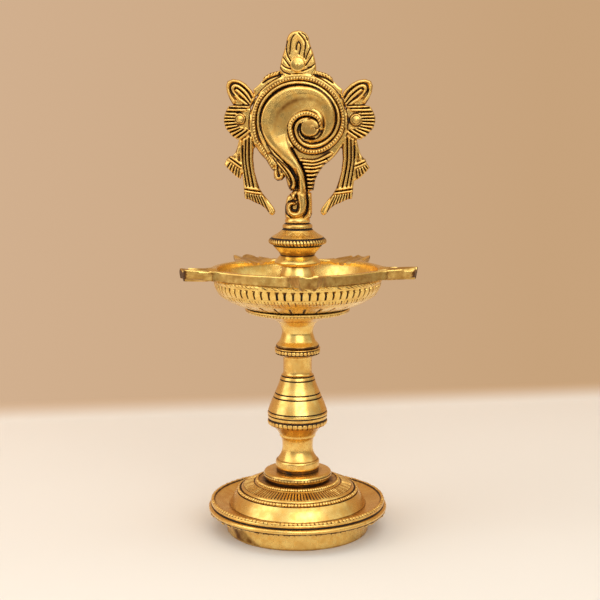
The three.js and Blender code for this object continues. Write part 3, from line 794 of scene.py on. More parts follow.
def both(lines):
    return lines + [[(0.1 * max(u - 24, 0) + 0.5 - u, *rest) for u, *rest in line]
                    for line in lines]


def cuts(width, depth, *lines, dark=1.0):
    for line in lines:
        cut(line, width, depth, dark)


def gaps(lines):
    return [[((a[0] + b[0]) / 2, (a[1] + b[1]) / 2) for a, b in zip(one, other)]
            for one, other in zip(lines, lines[1:])]

# %% [markdown]
# ## Bows, ribbons and crown
#
# The outer forms come first, because the disc overlaps them. Each side has two ribbon loops, a
# fan of pleats round a coin, a long ribbon with a fringe and a short streamer. The right side is
# drawn and flipped. The flip draws in what lies more than 24 mm out, since the left side of the
# casting is a little narrower. Its streamer spreads wider, so that one is drawn on its own. Every
# spot says how far right and how far up it lies, and a semicolon starts the next line.

# %% Outlines of the thin plates
LOOP = trace("""23 13, 25.4 17.6, 29 21.3, 33 23.4, 37 24, 40.1 22.8, 41.1 20.2, 40.6 16.8,
    39 13.2, 37.2 10.4, 28 6.4""")
FAN = trace("""26 8, 36.6 10, 39.8 9.2, 41.4 6.6, 42.6 3.4, 42.6 0.8, 41.6 -2.6, 39.6 -4.8,
    37.6 -7, 34.6 -8.8, 30 -8.8, 25 -6""")
RIBBON = trace("""25.4 -4, 24.6 -14.4, 24.9 -19.5, 24.2 -26.1, 22.7 -31.6, 21.3 -35.7,
    19.4 -38.8, 16.5 -42.3, 13.6 -46.3, 12.7 -48.2, 13.2 -49.6, 14.3 -50.4, 15.8 -49.8, 18 -46.7,
    20.9 -44.5, 23.8 -43.4, 27.5 -41.6, 30.1 -41.2, 30.6 -38.2, 30.8 -34.4, 31.6 -28, 31.8 -18,
    31.8 -6""")
STREAMER = trace("""31 -6, 32.6 -9.2, 33.7 -13.7, 34.8 -17, 36.3 -18.8, 37.4 -19.5, 38.1 -21.7,
    39.8 -24.1, 37.8 -26.5, 34.8 -29.6, 32.6 -30.9, 31 -31.4, 30 -24""")
LEFT_STREAMER = trace("""-30.4 -6, -32 -8.5, -33 -12.9, -34.1 -15.9, -35.6 -17.6, -37.4 -17.9,
    -38.9 -19.5, -40.2 -22.5, -37.1 -25.8, -34.1 -28.8, -31.4 -30.4, -29.4 -24""")
WEB = trace("20.5 -9, 25.8 -4, 25.4 -14.5, 23.4 -13")
SCROLL = trace("""8 25, 9.6 28.6, 12.2 28, 15.2 27.2, 17.3 26.1, 19.1 24.5, 19.3 23.2, 22.1 20.3,
    24.6 18.4, 24 14, 10 22""")
for outline in both([LOOP, FAN, RIBBON, WEB, SCROLL]) + [STREAMER, LEFT_STREAMER]:
    plate(outline, 1.5)
CROWN = trace("""0.8 50, 3.6 49, 5 47.8, 6 46.3, 6.8 43, 7.6 40.4, 8.4 38.4, 9.4 35, 10 32,
    10.2 29.6, 9.6 27.5, 6 23, -6 23, -9 27.5, -9.5 30, -9 32.6, -8.4 35.2, -7.2 39, -6.2 42.6,
    -5.8 45, -4.8 47.4, -2.8 49.2""")
plate(CROWN, 2.9, curved=True)

# %% Loops, fans and coins
loop_ribs = traces("""24.7 15, 26.2 17.7, 29.7 20.7, 33.2 22.6, 36.7 23.1, 39.2 22.2, 40.1 20.2,
    39.7 17.2, 38.2 14.2, 36.2 11.7;
    26 12.2, 28.2 15.5, 31.2 18.4, 34.2 20.2, 36.4 20.2, 37.2 18.2, 36.2 16, 33.7 13.7;
    26.8 10.7, 29.4 13.7, 32.2 16.2, 34.6 18;
    27.2 9.2, 30.2 11.4, 33.7 13.4""")
fan_ribs = traces("""28.2 8.9, 38.4 9.4; 29.4 7.3, 40.2 7.3; 35.4 5.2, 41 5.4; 35.6 3.5, 42 3.7;
    35.9 1.9, 42.3 1.9; 35.7 0.3, 42 0; 35 -1.2, 41.2 -2; 33.9 -2.4, 39.8 -4; 32.2 -3.2, 38 -5.8;
    29.6 -3.6, 36 -7.5; 27.2 -4.2, 32.6 -8""")
loop_cuts = traces("""25.6 13.8, 27.3 16.6, 30.4 19.6, 33.8 21.4, 36.6 21.7, 38.3 20.3, 38 17.6,
    36 15;
    26.4 11.5, 28.8 14.6, 31.7 17.3, 34.5 19.1, 35.8 18.6;
    27 10, 29.8 12.6, 33 14.9""")
fan_cuts = traces("27.1 9.6, 37.8 10.1") + gaps(fan_ribs)
ribs(0.9, 2.6, *both(loop_ribs))
ribs(0.8, 2.5, *both(fan_ribs))
cuts(0.4, 0.9, *both(loop_cuts), *both(fan_cuts))
for u, v, size in ((32.0, 2.0, 3.2), (-31.6, 2.4, 3.0)):
    dome(u, v, size + 0.4, size + 0.4, 1.3, 1.4)
    dome(u, v, size, size, 2.9, 3.3)
    coin = [(u + 0.72 * size * math.cos(a), v + 0.72 * size * math.sin(a))
            for a in np.linspace(0, 2 * math.pi, 13)]
    cuts(0.28, 0.4, coin, dark=0.7)
    dome(u, v, 0.6, 0.6, 3.3, 3.9)

# %% Ribbons with their fringes
ribbon_ribs = traces("""26 -8, 26.1 -19.5, 25.1 -27, 23.5 -34.5; 28.4 -8, 28.5 -19.5, 27.5 -27,
    26 -34.8; 30.2 -9, 30.4 -19.5, 29.4 -27, 28.1 -34.6; 31.4 -20, 31 -27, 30 -34.2""")
ribbon_cuts = traces("""27.3 -8, 27.4 -19.5, 26.4 -27, 24.7 -34.6;
    29.3 -9, 29.5 -19.5, 28.4 -27, 27.1 -34.6;
    31 -12, 31.2 -19.5, 30.3 -27, 29 -34.4""")
bands = traces("20.8 -36.2, 25.6 -35.6, 30.5 -34.8; 20.2 -38.2, 25.2 -37.6, 30.2 -36.8")
fringe = traces("""29.5 -38.4, 29.3 -41; 28.1 -38.7, 27.5 -41.9; 26.7 -39, 25.7 -42.7; 25.3 -39.2,
    23.8 -43.6; 23.9 -39.4, 21.9 -44.6; 22.5 -39.6, 19.9 -45.7; 21.1 -39.8, 17.6 -47.4;
    19.8 -39.9, 15.2 -49.2""")
streamer_ribs = traces("32.2 -9.8, 32.5 -15, 32.1 -20.6; 33.5 -13.2, 34.4 -16.6, 34.9 -19.4")
streamer_bands = traces("31.4 -22.4, 34 -21.4, 36.6 -20.2; 31.4 -24.2, 34.4 -23.1, 37.6 -21.6")
streamer_fringe = traces("""31.8 -25.9, 32 -30.6; 33.1 -25.4, 33.7 -29.3; 34.4 -24.8, 35.3 -27.9;
    35.7 -24.2, 36.9 -26.7; 36.9 -23.5, 38.3 -25.2; 37.9 -22.7, 39 -24""")
left_bands = traces("""-30.6 -22.4, -33.6 -20.2, -36.6 -18.2; -30.8 -24.4, -34.2 -21.9,
    -37.7 -19.4""")
left_fringe = traces("""-31.4 -25.8, -31.6 -29.8; -32.7 -25, -33.2 -28.9; -34 -24.1, -34.8 -27.8;
    -35.3 -23.2, -36.4 -26.3; -36.6 -22.3, -37.9 -24.7; -37.8 -21.3, -39.2 -23.2""")
ribs(1.1, 2.5, *both(ribbon_ribs))
cuts(0.36, 1.1, *both(ribbon_cuts))
ribs(0.78, 2.9, *both(bands))
ribs(0.7, 2.3, *both(fringe))
ribs(0.72, 2.4, *both(streamer_ribs))
ribs(0.7, 2.7, *streamer_bands, *left_bands)
ribs(0.64, 2.2, *streamer_fringe, *left_fringe)
cuts(0.3, 0.8, *both(gaps(fringe)), *gaps(streamer_fringe), *gaps(left_fringe))
cuts(0.3, 0.8, *both(gaps(bands)), *gaps(streamer_bands), *gaps(left_bands))

# %% The crown of leaves
crown_cuts = traces("""-1.6 47.6, -3.1 45.3, -3.7 41.6, -4.1 37; -5.4 44.1, -5.9 40.7, -5.4 37,
    -3.7 33.6; 0.6 48.4, 2.7 46.2, 4.5 42.8, 4 38.6, 3.6 35.3; 2.5 48.4, 4.5 47, 5.5 44.5;
    0.6 44.1, 1.9 41.6, 1.4 38.6, 1 37; 0.2 43.6, -0.5 41.1, -0.5 39.5; 7.2 40.7, 5.7 37.8,
    4.5 34.5; 8.1 36.6, 6.2 33.6, 4.5 31.1; 9.4 32, 6.6 29.9, 3.6 28.6, 2.3 28.2; -7.8 35.7,
    -5.9 33.2, -4.1 30.7; -8.7 32, -6.7 30.3, -3.7 29.3; -9.3 30.3, -7.6 27.8, -4.1 26.5""")
cuts(0.34, 1.0, *crown_cuts)
cuts(0.4, 0.9, *traces("-4 26.4, 0 26.7, 4 26.4; 5.6 30.2, 7.6 30.4"))
dome(0, 31.7, 4.4, 4.4, 1.7, 1.8)
dome(0, 31.7, 4.0, 4.0, 3.7, 4.3)
for u in (-1.0, 0.7):
    dome(u, 31.6, 0.35, 0.35, 4.4, 4.7)
rope_bits = traces("""9.2 28.5, 10 26.8; 10.9 28.2, 11.6 26.4; 12.6 27.7, 13.2 25.9; 14.3 27.2,
    14.8 25.4; 16 26.5, 16.3 24.8; 17.6 25.5, 17.7 24; 19 24.4, 18.9 23""")
ribs(0.62, 2.7, rope_bits[0], *both(rope_bits[1:]))
rope_edge = trace("8.6 26.4, 13 25.2, 16.4 23.8, 19.4 21.8")
cuts(0.4, 1.0, *both([rope_edge]))

# %% [markdown]
# ## Disc, cord and conch
#
# The conch lies on a round disc. A beaded cord runs round the disc's edge and winds on inwards
# under the whorl, with a smooth ridge inside it, so the disc itself becomes the shell's spiral.
# The body of the shell is one long form of changing width that narrows into the canal and curls
# up at its foot. It is highest near its outer edge, which gives the broad bright band with a
# shaded hollow beside it; painted shade darkens that hollow and the trunk further. Where four
# numbers stand together, the last two are width and height.

# %% The disc and what stands beside the canal
DISC_U = 0.6
DISC_RADIUS = 26.7
CORD_RADIUS = 26.0
EDGE_CUT_RADIUS = 25.3
from_centre = np.hypot(sheet_u - DISC_U, sheet_v)
sheet_inside = np.maximum(sheet_inside, DISC_RADIUS - from_centre)
swelling = 2.3 + 1.9 * np.exp(-((sheet_u - 5) ** 2 + (sheet_v + 4) ** 2) / 14**2)
sheet_height = np.where(from_centre < DISC_RADIUS, np.maximum(0, swelling), sheet_height)
sheet_dark[from_centre < DISC_RADIUS + 0.2] = 0
CONE = trace("""0 -14, 14 -13.4, 21.6 -11.8, 20.4 -15.4, 16.4 -20.8, 12.9 -25.2, 10.9 -28.4,
    9.8 -31, 8.9 -36.5, 4 -38, 0 -30, -4 -20""")
POST = trace("""2 -36, 7.8 -38, 8.1 -43, 8.1 -49.6, 7.2 -51.8, 5.4 -53.2, -5.6 -53.2, -6.9 -51,
    -6.9 -46, -6.2 -42, -5.6 -40, -3 -37.4, -2 -36""")
EAR = trace("""-9.4 -19, -12.4 -23.6, -13.2 -27.5, -12.8 -30, -11 -31.4, -8.4 -31, -6.6 -29,
    -5.4 -34, -4 -37, 0 -36, 0 -24, -6 -19""")
plate(CONE, 2.5)
plate(POST, 4.0)
plate(EAR, 2.7)
cone_stripes = traces("""1.4 -19.9, 10 -20.4, 18.4 -16.4; 3.3 -21.9, 9.5 -22.2, 15.9 -20.4;
    3.8 -23.8, 9 -24, 13.9 -22.8; 4.4 -25.8, 8.5 -26, 12.3 -25.4; 5.2 -28.1, 8 -28.2, 10.9 -27.6;
    5.4 -30.3, 7.8 -30.4, 9.4 -30.1; 5.6 -32.4, 7.5 -32.5, 8.9 -32.2; 5.7 -34.5, 7.2 -34.6,
    8 -34.4; 6 -36.3, 7 -36.4, 7.5 -36.3""")
ribs(0.92, 4.4, *cone_stripes[:4])
ribs(0.74, 4.5, *cone_stripes[4:])
cuts(0.36, 0.9, *gaps(cone_stripes[:5]))
cuts(0.5, 1.2, *gaps(cone_stripes[4:]))

# %% The cord and the ridge inside it
ring_angle = np.radians(np.linspace(-205, 8, 20))


def disc_arc(radius, *rest):
    return [(DISC_U + radius * math.cos(-a), radius * math.sin(-a), *rest) for a in ring_angle]


stroke(disc_arc(CORD_RADIUS, 0.8, 3.3))
CORD = trace("""-12.6 -25 1.1 3, -14.3 -22.6 1.2 3.2, -19.7 -13.2 1.2 3.6, -22.6 -8.6 1.2 3.8,
    -24 -0.4 1.2 3.8, -23.2 6.9 1.2 3.8, -20.8 12.4 1.2 3.8, -17.4 16.9 1.2 3.8,
    -12.9 20.6 1.2 3.8, -7.2 23.3 1.2 3.8, -0.4 24.5 1.2 3.8, 5.6 24.1 1.2 3.8, 11 22.3 1.2 3.8,
    15.9 19.3 1.2 3.8, 20.3 14.8 1.2 3.8, 23.4 9.7 1.2 3.9, 25 3.9 1.2 4, 24.8 -0.8 1.25 4.3,
    23 -5.8 1.3 4.6, 19.5 -10.3 1.3 5, 15 -13.7 1.3 5.3, 10 -15.3 1.3 5.6, 4.6 -14.9 1.3 5.9,
    0.3 -12.3 1.3 6.2, -2.7 -8.2 1.3 6.4, -4 -3.4 1.3 6.6, -3.6 0 1.3 6.6, -1.4 3 1.3 6.8,
    1.6 4.9 1.3 6.8, 5.3 5.5 1.3 6.8, 8.7 4.5 1.2 6.8, 11.3 2.5 1 6.8, 12.4 -0.4 0.8 6.8""")
stroke(CORD, pitch=1.55, notch=0.35, silhouette=True)
INNER_RIDGE = trace("""-15.8 -15.2, -19 -9.4, -21 -3, -21.3 2.8, -20.1 8.6, -17.1 13.8,
    -12.2 18.4, -6.2 21.1, 0 22, 6.6 21.2, 12.7 18.5, 17.6 14.3, 21.1 8.8, 22.4 3.2, 21.7 -1.7,
    19.2 -6.6, 14.4 -10.6, 9.4 -12.2, 4.6 -11.6, 1 -8.6, -0.8 -4.2, -0.2 -0.6, 2.2 1.7, 5.4 2.3,
    8.2 1.3, 9.8 -1, 9.4 -3.2""")
ridge_height = np.interp(np.arange(27), [0, 12, 16, 21, 26], [3.6, 3.6, 4.4, 6.0, 7.0])
stroke([(u, v, 1.1, h) for (u, v), h in zip(INNER_RIDGE, ridge_height)])

# %% The shell and its bed
BED = trace("""12.8 -2.5, 12.8 2.5, 10.6 5.8, 6.5 7.8, 2 7.3, -2.6 5.2, -5.5 1.2, -6.3 -3.5,
    -5.4 -8.5, -3.2 -12.5""")
stroke([(u, v, 1.3, 5.3) for u, v in BED])
SHELL = trace("""3.4 -9 0.9 4.9, 10.6 -8.9 1.2 5.1, 15.2 -5.6 2.2 5.4, 17.4 0.2 3 5.7,
    16.1 7 4 6.1, 11.3 12.1 5.3 6.5, 4.4 13.6 6.5 6.9, -3.8 12 7.5 7, -10.4 6.5 7.9 7,
    -12.9 -0.4 7.3 7, -11.4 -7.5 5.9 6.9, -7.5 -14.6 3.95 6.7, -4.2 -19 3.1 6.5,
    -1.2 -22.6 2.5 6.3, 1.5 -27.9 2.1 6.2, 2.3 -33.2 2.2 6.2, 2.3 -38.5 2.4 6.2,
    2.8 -43.8 2.2 6.4, 2.4 -47.2 1.9 6.5, 0.9 -49.1 1.6 6.6, -1.6 -49.7 1.4 6.7,
    -4 -48.7 1.3 6.8, -5.1 -46.6 1.2 6.9, -4.8 -44.5 1.1 6.9, -3.3 -43.5 0.9 6.9,
    -1.4 -43.7 0.65 6.8""")

# %% The shell's round section
path = smooth_line(np.array(SHELL), 6)
where = window(path, 9)
near, (width, height, along, side) = nearest(path, where)
q = -side * near / width
rim_round = np.sqrt(np.clip(1 - (1 - np.clip((width - near) / 1.5, 0, 1)) ** 2, 0, 1))
broad = np.clip((width - 3) / 3, 0, 1)
rim_round = np.where(q > 0, rim_round, 1 - (1 - rim_round) * (1 - 0.8 * broad))
lean = 1.5 * broad * np.clip((0.4 - q) / 1.4, 0, 1)
section = height - 1.7 + (1.7 - 0.7 * (1 - broad) * q**2) * rim_round - lean
# smear is patina along the middle; shade adds painted shade to the broad shell's inner half and to
# the whole trunk
smear = np.exp(-((q + 0.05) / 0.2) ** 2) * np.clip(1.3 - np.abs(along - 50) / 22, 0, 1)
shade = broad * (0.26 * np.clip(0.35 - q, 0, 0.8) + 0.3 * smear) + 0.14 * (1 - broad)
body = near < width
raise_to(sheet_inside, where, width - near)
sheet_height[where] = np.where(
    body, np.maximum(section, sheet_height[where] * (q < -0.9)), sheet_height[where])
sheet_dark[where] = np.where(body, shade, sheet_dark[where])
print(f"shell: {along.max():.0f} mm along its middle line")

# %% Folds beside the canal, and the whorl
folds = traces("""-20.4 -4.6 0.8 3.6, -18.2 -9 0.9 4, -14 -15 1 4.4, -9.3 -20 1 4.6,
    -5.5 -24.5 1 4.8, -3 -28.6 1 4.9, -1.8 -32.4 1 4.9, -2.6 -35.2 0.8 4.7;
    -11 -21.4 0.8 4, -7.4 -26 1 4.4, -5.2 -30 0.95 4.5, -4.5 -33.2 0.8 4.4;
    -12.2 -24 0.8 3.9, -12.2 -27.6 0.9 4.2, -11.2 -29.8 0.9 4.2, -9 -29.6 0.9 4.2,
    -8.6 -27.6 0.8 4.2;
    7.2 -39 0.8 4.8, 7.3 -44 0.8 5, 7.2 -48.6 0.8 5.2, 5.4 -51.8 0.8 5.2, 2 -52.6 0.6 5,
    -2.4 -52.6 0.6 5, -6 -50.6 0.6 5;
    -4.3 -36.6 0.7 5.2, -2.6 -38.4 0.9 5.6, -2.2 -40.6 0.6 5.4;
    -5.2 -39.6 0.6 4.8, -6.2 -42.4 0.7 5, -6.3 -45.4 0.5 5""")
for fold in folds:
    stroke(fold)
dome(6.6, -2.1, 5.3, 4.8, 6.4, 6.9)
dome(7.6, -2.0, 0.8, 0.8, 6.9, 7.7)
# The whorl is darkened all over: partly dirt, partly painted shade that dulls the dome's highlight.
whorl = np.hypot(sheet_u - 6.6, sheet_v + 2.1) < 4.2
raise_to(sheet_dark, whorl, 0.3)

# %% The dark cuts that part the forms
cuts(0.24, 0.5, disc_arc(EDGE_CUT_RADIUS), dark=0.55)
cuts(0.24, 0.5, trace("""-21.4 -6, -22.5 -1, -22.3 4.5, -20.8 10.4, -17 15.7, -11.4 20.1,
    -5 22.7, 1.6 23.3, 8.2 22.2, 14.2 19.2, 19.3 14.2, 22.6 8.6, 23.7 3"""), dark=0.7)
cuts(0.28, 0.7, trace("""-16.6 -11.6, -19.2 -4.6, -19.9 1.6, -18.9 7.6, -15.8 13, -10.9 17.2,
    -4.8 19.8, 1.6 20.5, 8 19.4, 13.8 16.3, 18.1 11.6, 20.4 6.2, 20.7 0.8, 18.9 -4.4, 14.8 -8.6,
    10 -10.6, 5.2 -10.4, 1.6 -7.6, 0.4 -4.2, 1 -1.2, 3 0.6"""))
cuts(0.55, 1.2, trace("1.9 -0.4, 1.6 -3.2, 2.2 -5.6, 3.6 -7.2, 6.2 -8.1, 9.2 -8.2"))
cuts(0.3, 0.6, trace("5.2 2.4, 8.5 2.6, 11 0.8, 11.6 -1.8, 10.4 -3, 9.6 -2.2"), dark=0.8)
cuts(0.36, 0.9, trace("""-16.8 -11.4, -13.2 -17, -7.8 -21.8, -4 -25.6, -1.2 -30.2, -0.5 -34,
    -1.4 -36.6, -4.2 -37"""))
cuts(0.32, 0.8, *traces("""-13.6 -18.6, -10.2 -23.2, -6.6 -27.4, -3.8 -32.4;
    -11.2 -22.6, -10.6 -25.8, -10.2 -28"""))
cuts(0.55, 1.2, trace("""-3.4 -13, 0.2 -19.6, 3 -24.4, 4.4 -29, 5 -34, 5.3 -39, 5.6 -44, 5.2 -48,
    3.4 -50.6, -0.2 -51.6, -3.6 -51.2"""), dark=0.95)
cuts(0.4, 0.8, *traces("""-0.5 -39, -0.4 -42, -2.6 -42, -5 -42.6;
    0.2 -44.6, 0 -46.4, -1.4 -47.3, -3 -46.6, -3 -45.4"""), dark=0.7)

# %% [markdown]
# ## From heights to a casting
#
# The sheet becomes metal in three steps. A light blur softens the steps between the forms, as
# casting and buffing do. Near the outline the height falls off in a rounded edge, deeper where
# the metal is thick. Then squares inside the outline become faces, squares on the outline are
# cut where it crosses them, and a narrow wall joins front and back. Spots lower than their
# surroundings are taken as dirty, which finds every groove without drawing it twice.

# %% Softening and finding the grooves
def blurred(values, spread):
    reach = int(3 * spread) + 1
    kernel = np.exp(-0.5 * (np.arange(-reach, reach + 1) / spread) ** 2)
    kernel /= kernel.sum()
    padded = np.pad(values, reach, mode="edge")
    padded = sum(k * padded[i:i + values.shape[0], :] for i, k in enumerate(kernel))
    return sum(k * padded[:, i:i + values.shape[1]] for i, k in enumerate(kernel))


EDGE = 0.85
inside = np.where(np.abs(sheet_inside) < 0.03, 0.03, sheet_inside)
within = (inside > 0).astype(float)
soft = blurred(sheet_height, 0.55)
level = blurred(soft * within, 2.2) / np.maximum(blurred(within, 2.2), 0.05)
groove_dirt = np.clip((level - soft - 0.12) / 0.42, 0, 1)
groove_dirt = groove_dirt * groove_dirt * (3 - 2 * groove_dirt)
# sheet_dark brings in the painted shade of the shell, its trunk and the whorl, besides the dark
# cuts.
sheet_grime = np.maximum(groove_dirt, blurred(sheet_dark, 0.5))
fall = np.maximum(1.1, 0.5 * soft)
round_edge = np.sqrt(np.clip(1 - (1 - np.clip(inside / fall, 0, 1)) ** 2, 0, 1))
casting_height = EDGE + np.maximum(soft - EDGE, 0.1) * round_edge
print(f"emblem sheet: {int(within.sum())} spots of metal, highest {casting_height.max():.1f} mm")

# %% The spots of metal, numbered
rows, columns = inside.shape
number = np.full(inside.shape, -1)
number[inside > 0] = np.arange(int(within.sum()))
half = [(u, h, v, g) for u, h, v, g in zip(
    sheet_u[inside > 0], casting_height[inside > 0], sheet_v[inside > 0], sheet_grime[inside > 0])]

# %% Where the outline crosses the side of a square
crossings = {}


def crossing(one, other):
    key = (min(one, other), max(one, other))
    if key not in crossings:
        a, b = inside[key[0]], inside[key[1]]
        t = a / (a - b)
        u = sheet_u[key[0]] + t * (sheet_u[key[1]] - sheet_u[key[0]])
        v = sheet_v[key[0]] + t * (sheet_v[key[1]] - sheet_v[key[0]])
        crossings[key] = len(half)
        half.append((u, EDGE, v, 0.25))
    return crossings[key]

# %% Faces inside, on the outline and round the edge
front, wall = [], []
corner_count = sum((inside[i:rows - 1 + i, j:columns - 1 + j] > 0).astype(int)
                   for i in (0, 1) for j in (0, 1))
full_rows, full_columns = np.nonzero(corner_count == 4)
for i, j in zip(full_rows, full_columns):
    front.append([int(number[i, j]), int(number[i, j + 1]), int(number[i + 1, j + 1]),
                  int(number[i + 1, j])])
cut_rows, cut_columns = np.nonzero((corner_count > 0) & (corner_count < 4))
for i, j in zip(cut_rows.tolist(), cut_columns.tolist()):
    corners = [(i, j), (i, j + 1), (i + 1, j + 1), (i + 1, j)]
    face, kinds = [], []
    for one, other in zip(corners, corners[1:] + corners[:1]):
        if inside[one] > 0:
            face.append(int(number[one]))
            kinds.append("metal")
        if (inside[one] > 0) != (inside[other] > 0):
            face.append(crossing(one, other))
            kinds.append("out" if inside[one] > 0 else "in")
    front.append(face)
    for k, kind in enumerate(kinds):
        if kind == "out":
            wall.append((face[k], face[(k + 1) % len(face)]))
count = len(half)
emblem_points = [(u, -h, DISC_CENTRE + v) for u, h, v, g in half]
emblem_points += [(u, h, DISC_CENTRE + v) for u, h, v, g in half]
emblem_grime = [g for u, h, v, g in half] * 2
emblem_faces = front + [[k + count for k in face[::-1]] for face in front]
emblem_faces += [[b, a, a + count, b + count] for a, b in wall]
print(f"emblem outline: {len(crossings)} crossings, {len(wall)} wall faces")

# %% The turned foot under the emblem, and the whole piece
neck = Turning()
neck.run([(3.3, 172.6), (7.9, 172.6), (8.2, 172.9)], 0.4, 96, grime=0.8)
neck.run("8.35 173.3, 8.3 174.3", 0.4, 96, grime=0.1)
neck.run("7.6 175", 0.2, 96, grime=0.1)
neck.run("6.9 175.4, 6.6 175.7", 0.2, 96, grime=0.9)
neck.curve("6.95 176.4, 6.9 177.4, 6.2 178.4, 5 179.5", 0.3, 96)
neck.run("2 180.9, 0 181, 0 180.3, 3.3 180.3, 3.3 172.6", 2, 96)
neck_points, neck_faces, neck_grime = neck.mesh()
base_number = len(emblem_points)
conch = piece(
    "conch_emblem_casting", emblem_points + neck_points,
    emblem_faces + [[k + base_number for k in face] for face in neck_faces],
    emblem_grime + neck_grime, "finial", "aged_brass", ["conch_emblem"], sharp=65)

# %% [markdown]
# ## Brass that has been used
#
# Polished brass is hardly a colour at all: it mirrors the room, tinted yellow where it looks
# straight at it, and the tint deepens where brass mirrors brass. A flat metal would look like
# plastic foil, so four things are laid over it: slow clouds of tarnish, fine rings left by the
# lathe, small pits of the sand casting, and the brown black grime in the grooves. The grime
# colours also paint shade where a mesh asks for it, on the conch and under the seat ring.
# Positions come from object coordinates, which stay with a piece when it turns.

# %% A helper for shader nodes
def shader_node(tree, kind, feeds=(), **settings):
    made = tree.nodes.new(kind)
    for name, value in settings.items():
        setattr(made, name, value)
    for socket, value in dict(feeds).items():
        if isinstance(value, bpy.types.NodeSocket):
            tree.links.new(value, made.inputs[socket])
        else:
            made.inputs[socket].default_value = value
    return made


def noise(tree, where, scale, detail=3.0, rough=0.55):
    feeds = {"Vector": where, "Scale": scale, "Detail": detail, "Roughness": rough}
    return shader_node(tree, "ShaderNodeTexNoise", feeds).outputs["Fac"]


def reach(tree, value, low, high, to_low=0.0, to_high=1.0):
    feeds = {0: value, 1: low, 2: high, 3: to_low, 4: to_high}
    return shader_node(tree, "ShaderNodeMapRange", feeds, clamp=True).outputs[0]


def blend_colour(tree, share, one, other):
    made = shader_node(tree, "ShaderNodeMix", {0: share, 6: one, 7: other}, data_type="RGBA")
    return made.outputs[2]


def reckon(tree, how, one, other):
    return shader_node(tree, "ShaderNodeMath", {0: one, 1: other}, operation=how).outputs[0]


def new_metal(name):
    made = bpy.data.materials.new(name)
    made.use_nodes = True
    tree = made.node_tree
    place = shader_node(tree, "ShaderNodeTexCoord").outputs["Object"]
    grime = shader_node(tree, "ShaderNodeAttribute", attribute_name="grime").outputs["Fac"]
    return made, tree, tree.nodes["Principled BSDF"], place, grime


def plug(tree, shader, feeds):
    for socket, value in feeds.items():
        tree.links.new(value, shader.inputs[socket])


def bumps(tree, height, strength, distance):
    feeds = {"Height": height, "Strength": strength, "Distance": distance}
    return shader_node(tree, "ShaderNodeBump", feeds).outputs[0]

# %% The brass itself
TARNISH = (0.36, 0.17, 0.035, 1)
PIT = (0.10, 0.05, 0.015, 1)
# These two colours are the grime's, and they also paint the shade that some meshes carry with it.
PATINA_AND_SHADE = (0.20, 0.075, 0.008, 1)
LAMP_BLACK_AND_SHADE = (0.020, 0.009, 0.003, 1)


def brass(name, bright, deep, rough, tarnish, rings, pits):
    made, tree, shader, place, grime = new_metal(name)
    shift = {"Vector": place, "Location": (-AXIS_X * MM, -AXIS_Y * MM, 0)}
    centred = shader_node(tree, "ShaderNodeMapping", shift).outputs[0]
    apart = shader_node(tree, "ShaderNodeSeparateXYZ", {0: centred})
    flat = shader_node(tree, "ShaderNodeCombineXYZ", {0: apart.outputs[0], 1: apart.outputs[1]})
    radius = shader_node(tree, "ShaderNodeVectorMath", {0: flat.outputs[0]}, operation="LENGTH")
    lathe = shader_node(tree, "ShaderNodeCombineXYZ",
                        {0: radius.outputs["Value"], 1: apart.outputs[2]}).outputs[0]

    cloud = noise(tree, centred, 55, 4, 0.6)
    smudge = noise(tree, centred, 260, 3, 0.6)
    ringing = noise(tree, lathe, 2600, 2, 0.7)
    speck = noise(tree, centred, 1500, 2, 0.5)

    # The mesh's number brings grime, and on the conch and under the seat ring painted shade; both
    # darken the same way.
    patchy_grime_and_shade = reckon(tree, "MULTIPLY", grime, reach(tree, smudge, 0.3, 0.7, 0.7, 1.25))
    dirt = reach(tree, patchy_grime_and_shade, 0.06, 0.85)
    dull = reach(tree, cloud, 0.42, 0.68, 0.0, tarnish)
    colour = blend_colour(tree, reach(tree, smudge, 0.35, 0.65), bright, deep)
    colour = blend_colour(tree, dull, colour, TARNISH)
    pit = reach(tree, speck, 0.70, 0.76, 0.0, pits)
    colour = blend_colour(tree, pit, colour, PIT)
    colour = blend_colour(tree, reach(tree, dirt, 0, 0.55), colour, PATINA_AND_SHADE)
    colour = blend_colour(tree, reach(tree, dirt, 0.45, 1), colour, LAMP_BLACK_AND_SHADE)
    shader.inputs["Coat Weight"].default_value = 0.25
    shader.inputs["Coat Roughness"].default_value = 0.35
    metal = reach(tree, dirt, 0.7, 1.0, 1.0, 0.6)
    hazy = reach(tree, smudge, 0.3, 0.7, rough - 0.05, rough + 0.09)
    hazy = reckon(tree, "ADD", hazy, reckon(tree, "MULTIPLY", dull, 0.25))
    hazy = reckon(tree, "ADD", hazy, reckon(tree, "MULTIPLY", dirt, 0.3))

    height = reckon(tree, "MULTIPLY", ringing, rings)
    height = reckon(tree, "ADD", height, reckon(tree, "MULTIPLY", smudge, 0.25))
    height = reckon(tree, "SUBTRACT", height, pit)
    plug(tree, shader, {"Base Color": colour, "Metallic": metal, "Roughness": hazy,
                        "Normal": bumps(tree, height, 0.35, 0.00006)})
    print(f"{name}: {len(tree.nodes)} nodes")
    return made

# %% Two kinds of brass
cast_brass = brass("brass_as_cast", (0.92, 0.63, 0.19, 1), (0.83, 0.48, 0.11, 1),
                   rough=0.24, tarnish=0.22, rings=0.5, pits=0.8)
rubbed_brass = brass("brass_rubbed_bright", (0.95, 0.68, 0.21, 1), (0.87, 0.54, 0.13, 1),
                     rough=0.24, tarnish=0.15, rings=0.5, pits=0.5)

# %% [markdown]
# ## Steel for the studs
#
# The studs are plain zinc coated steel, grey and a little mottled, with oil and lamp black in
# the thread. Only the grime, the mottling and the roughness vary, so the recipe is short.

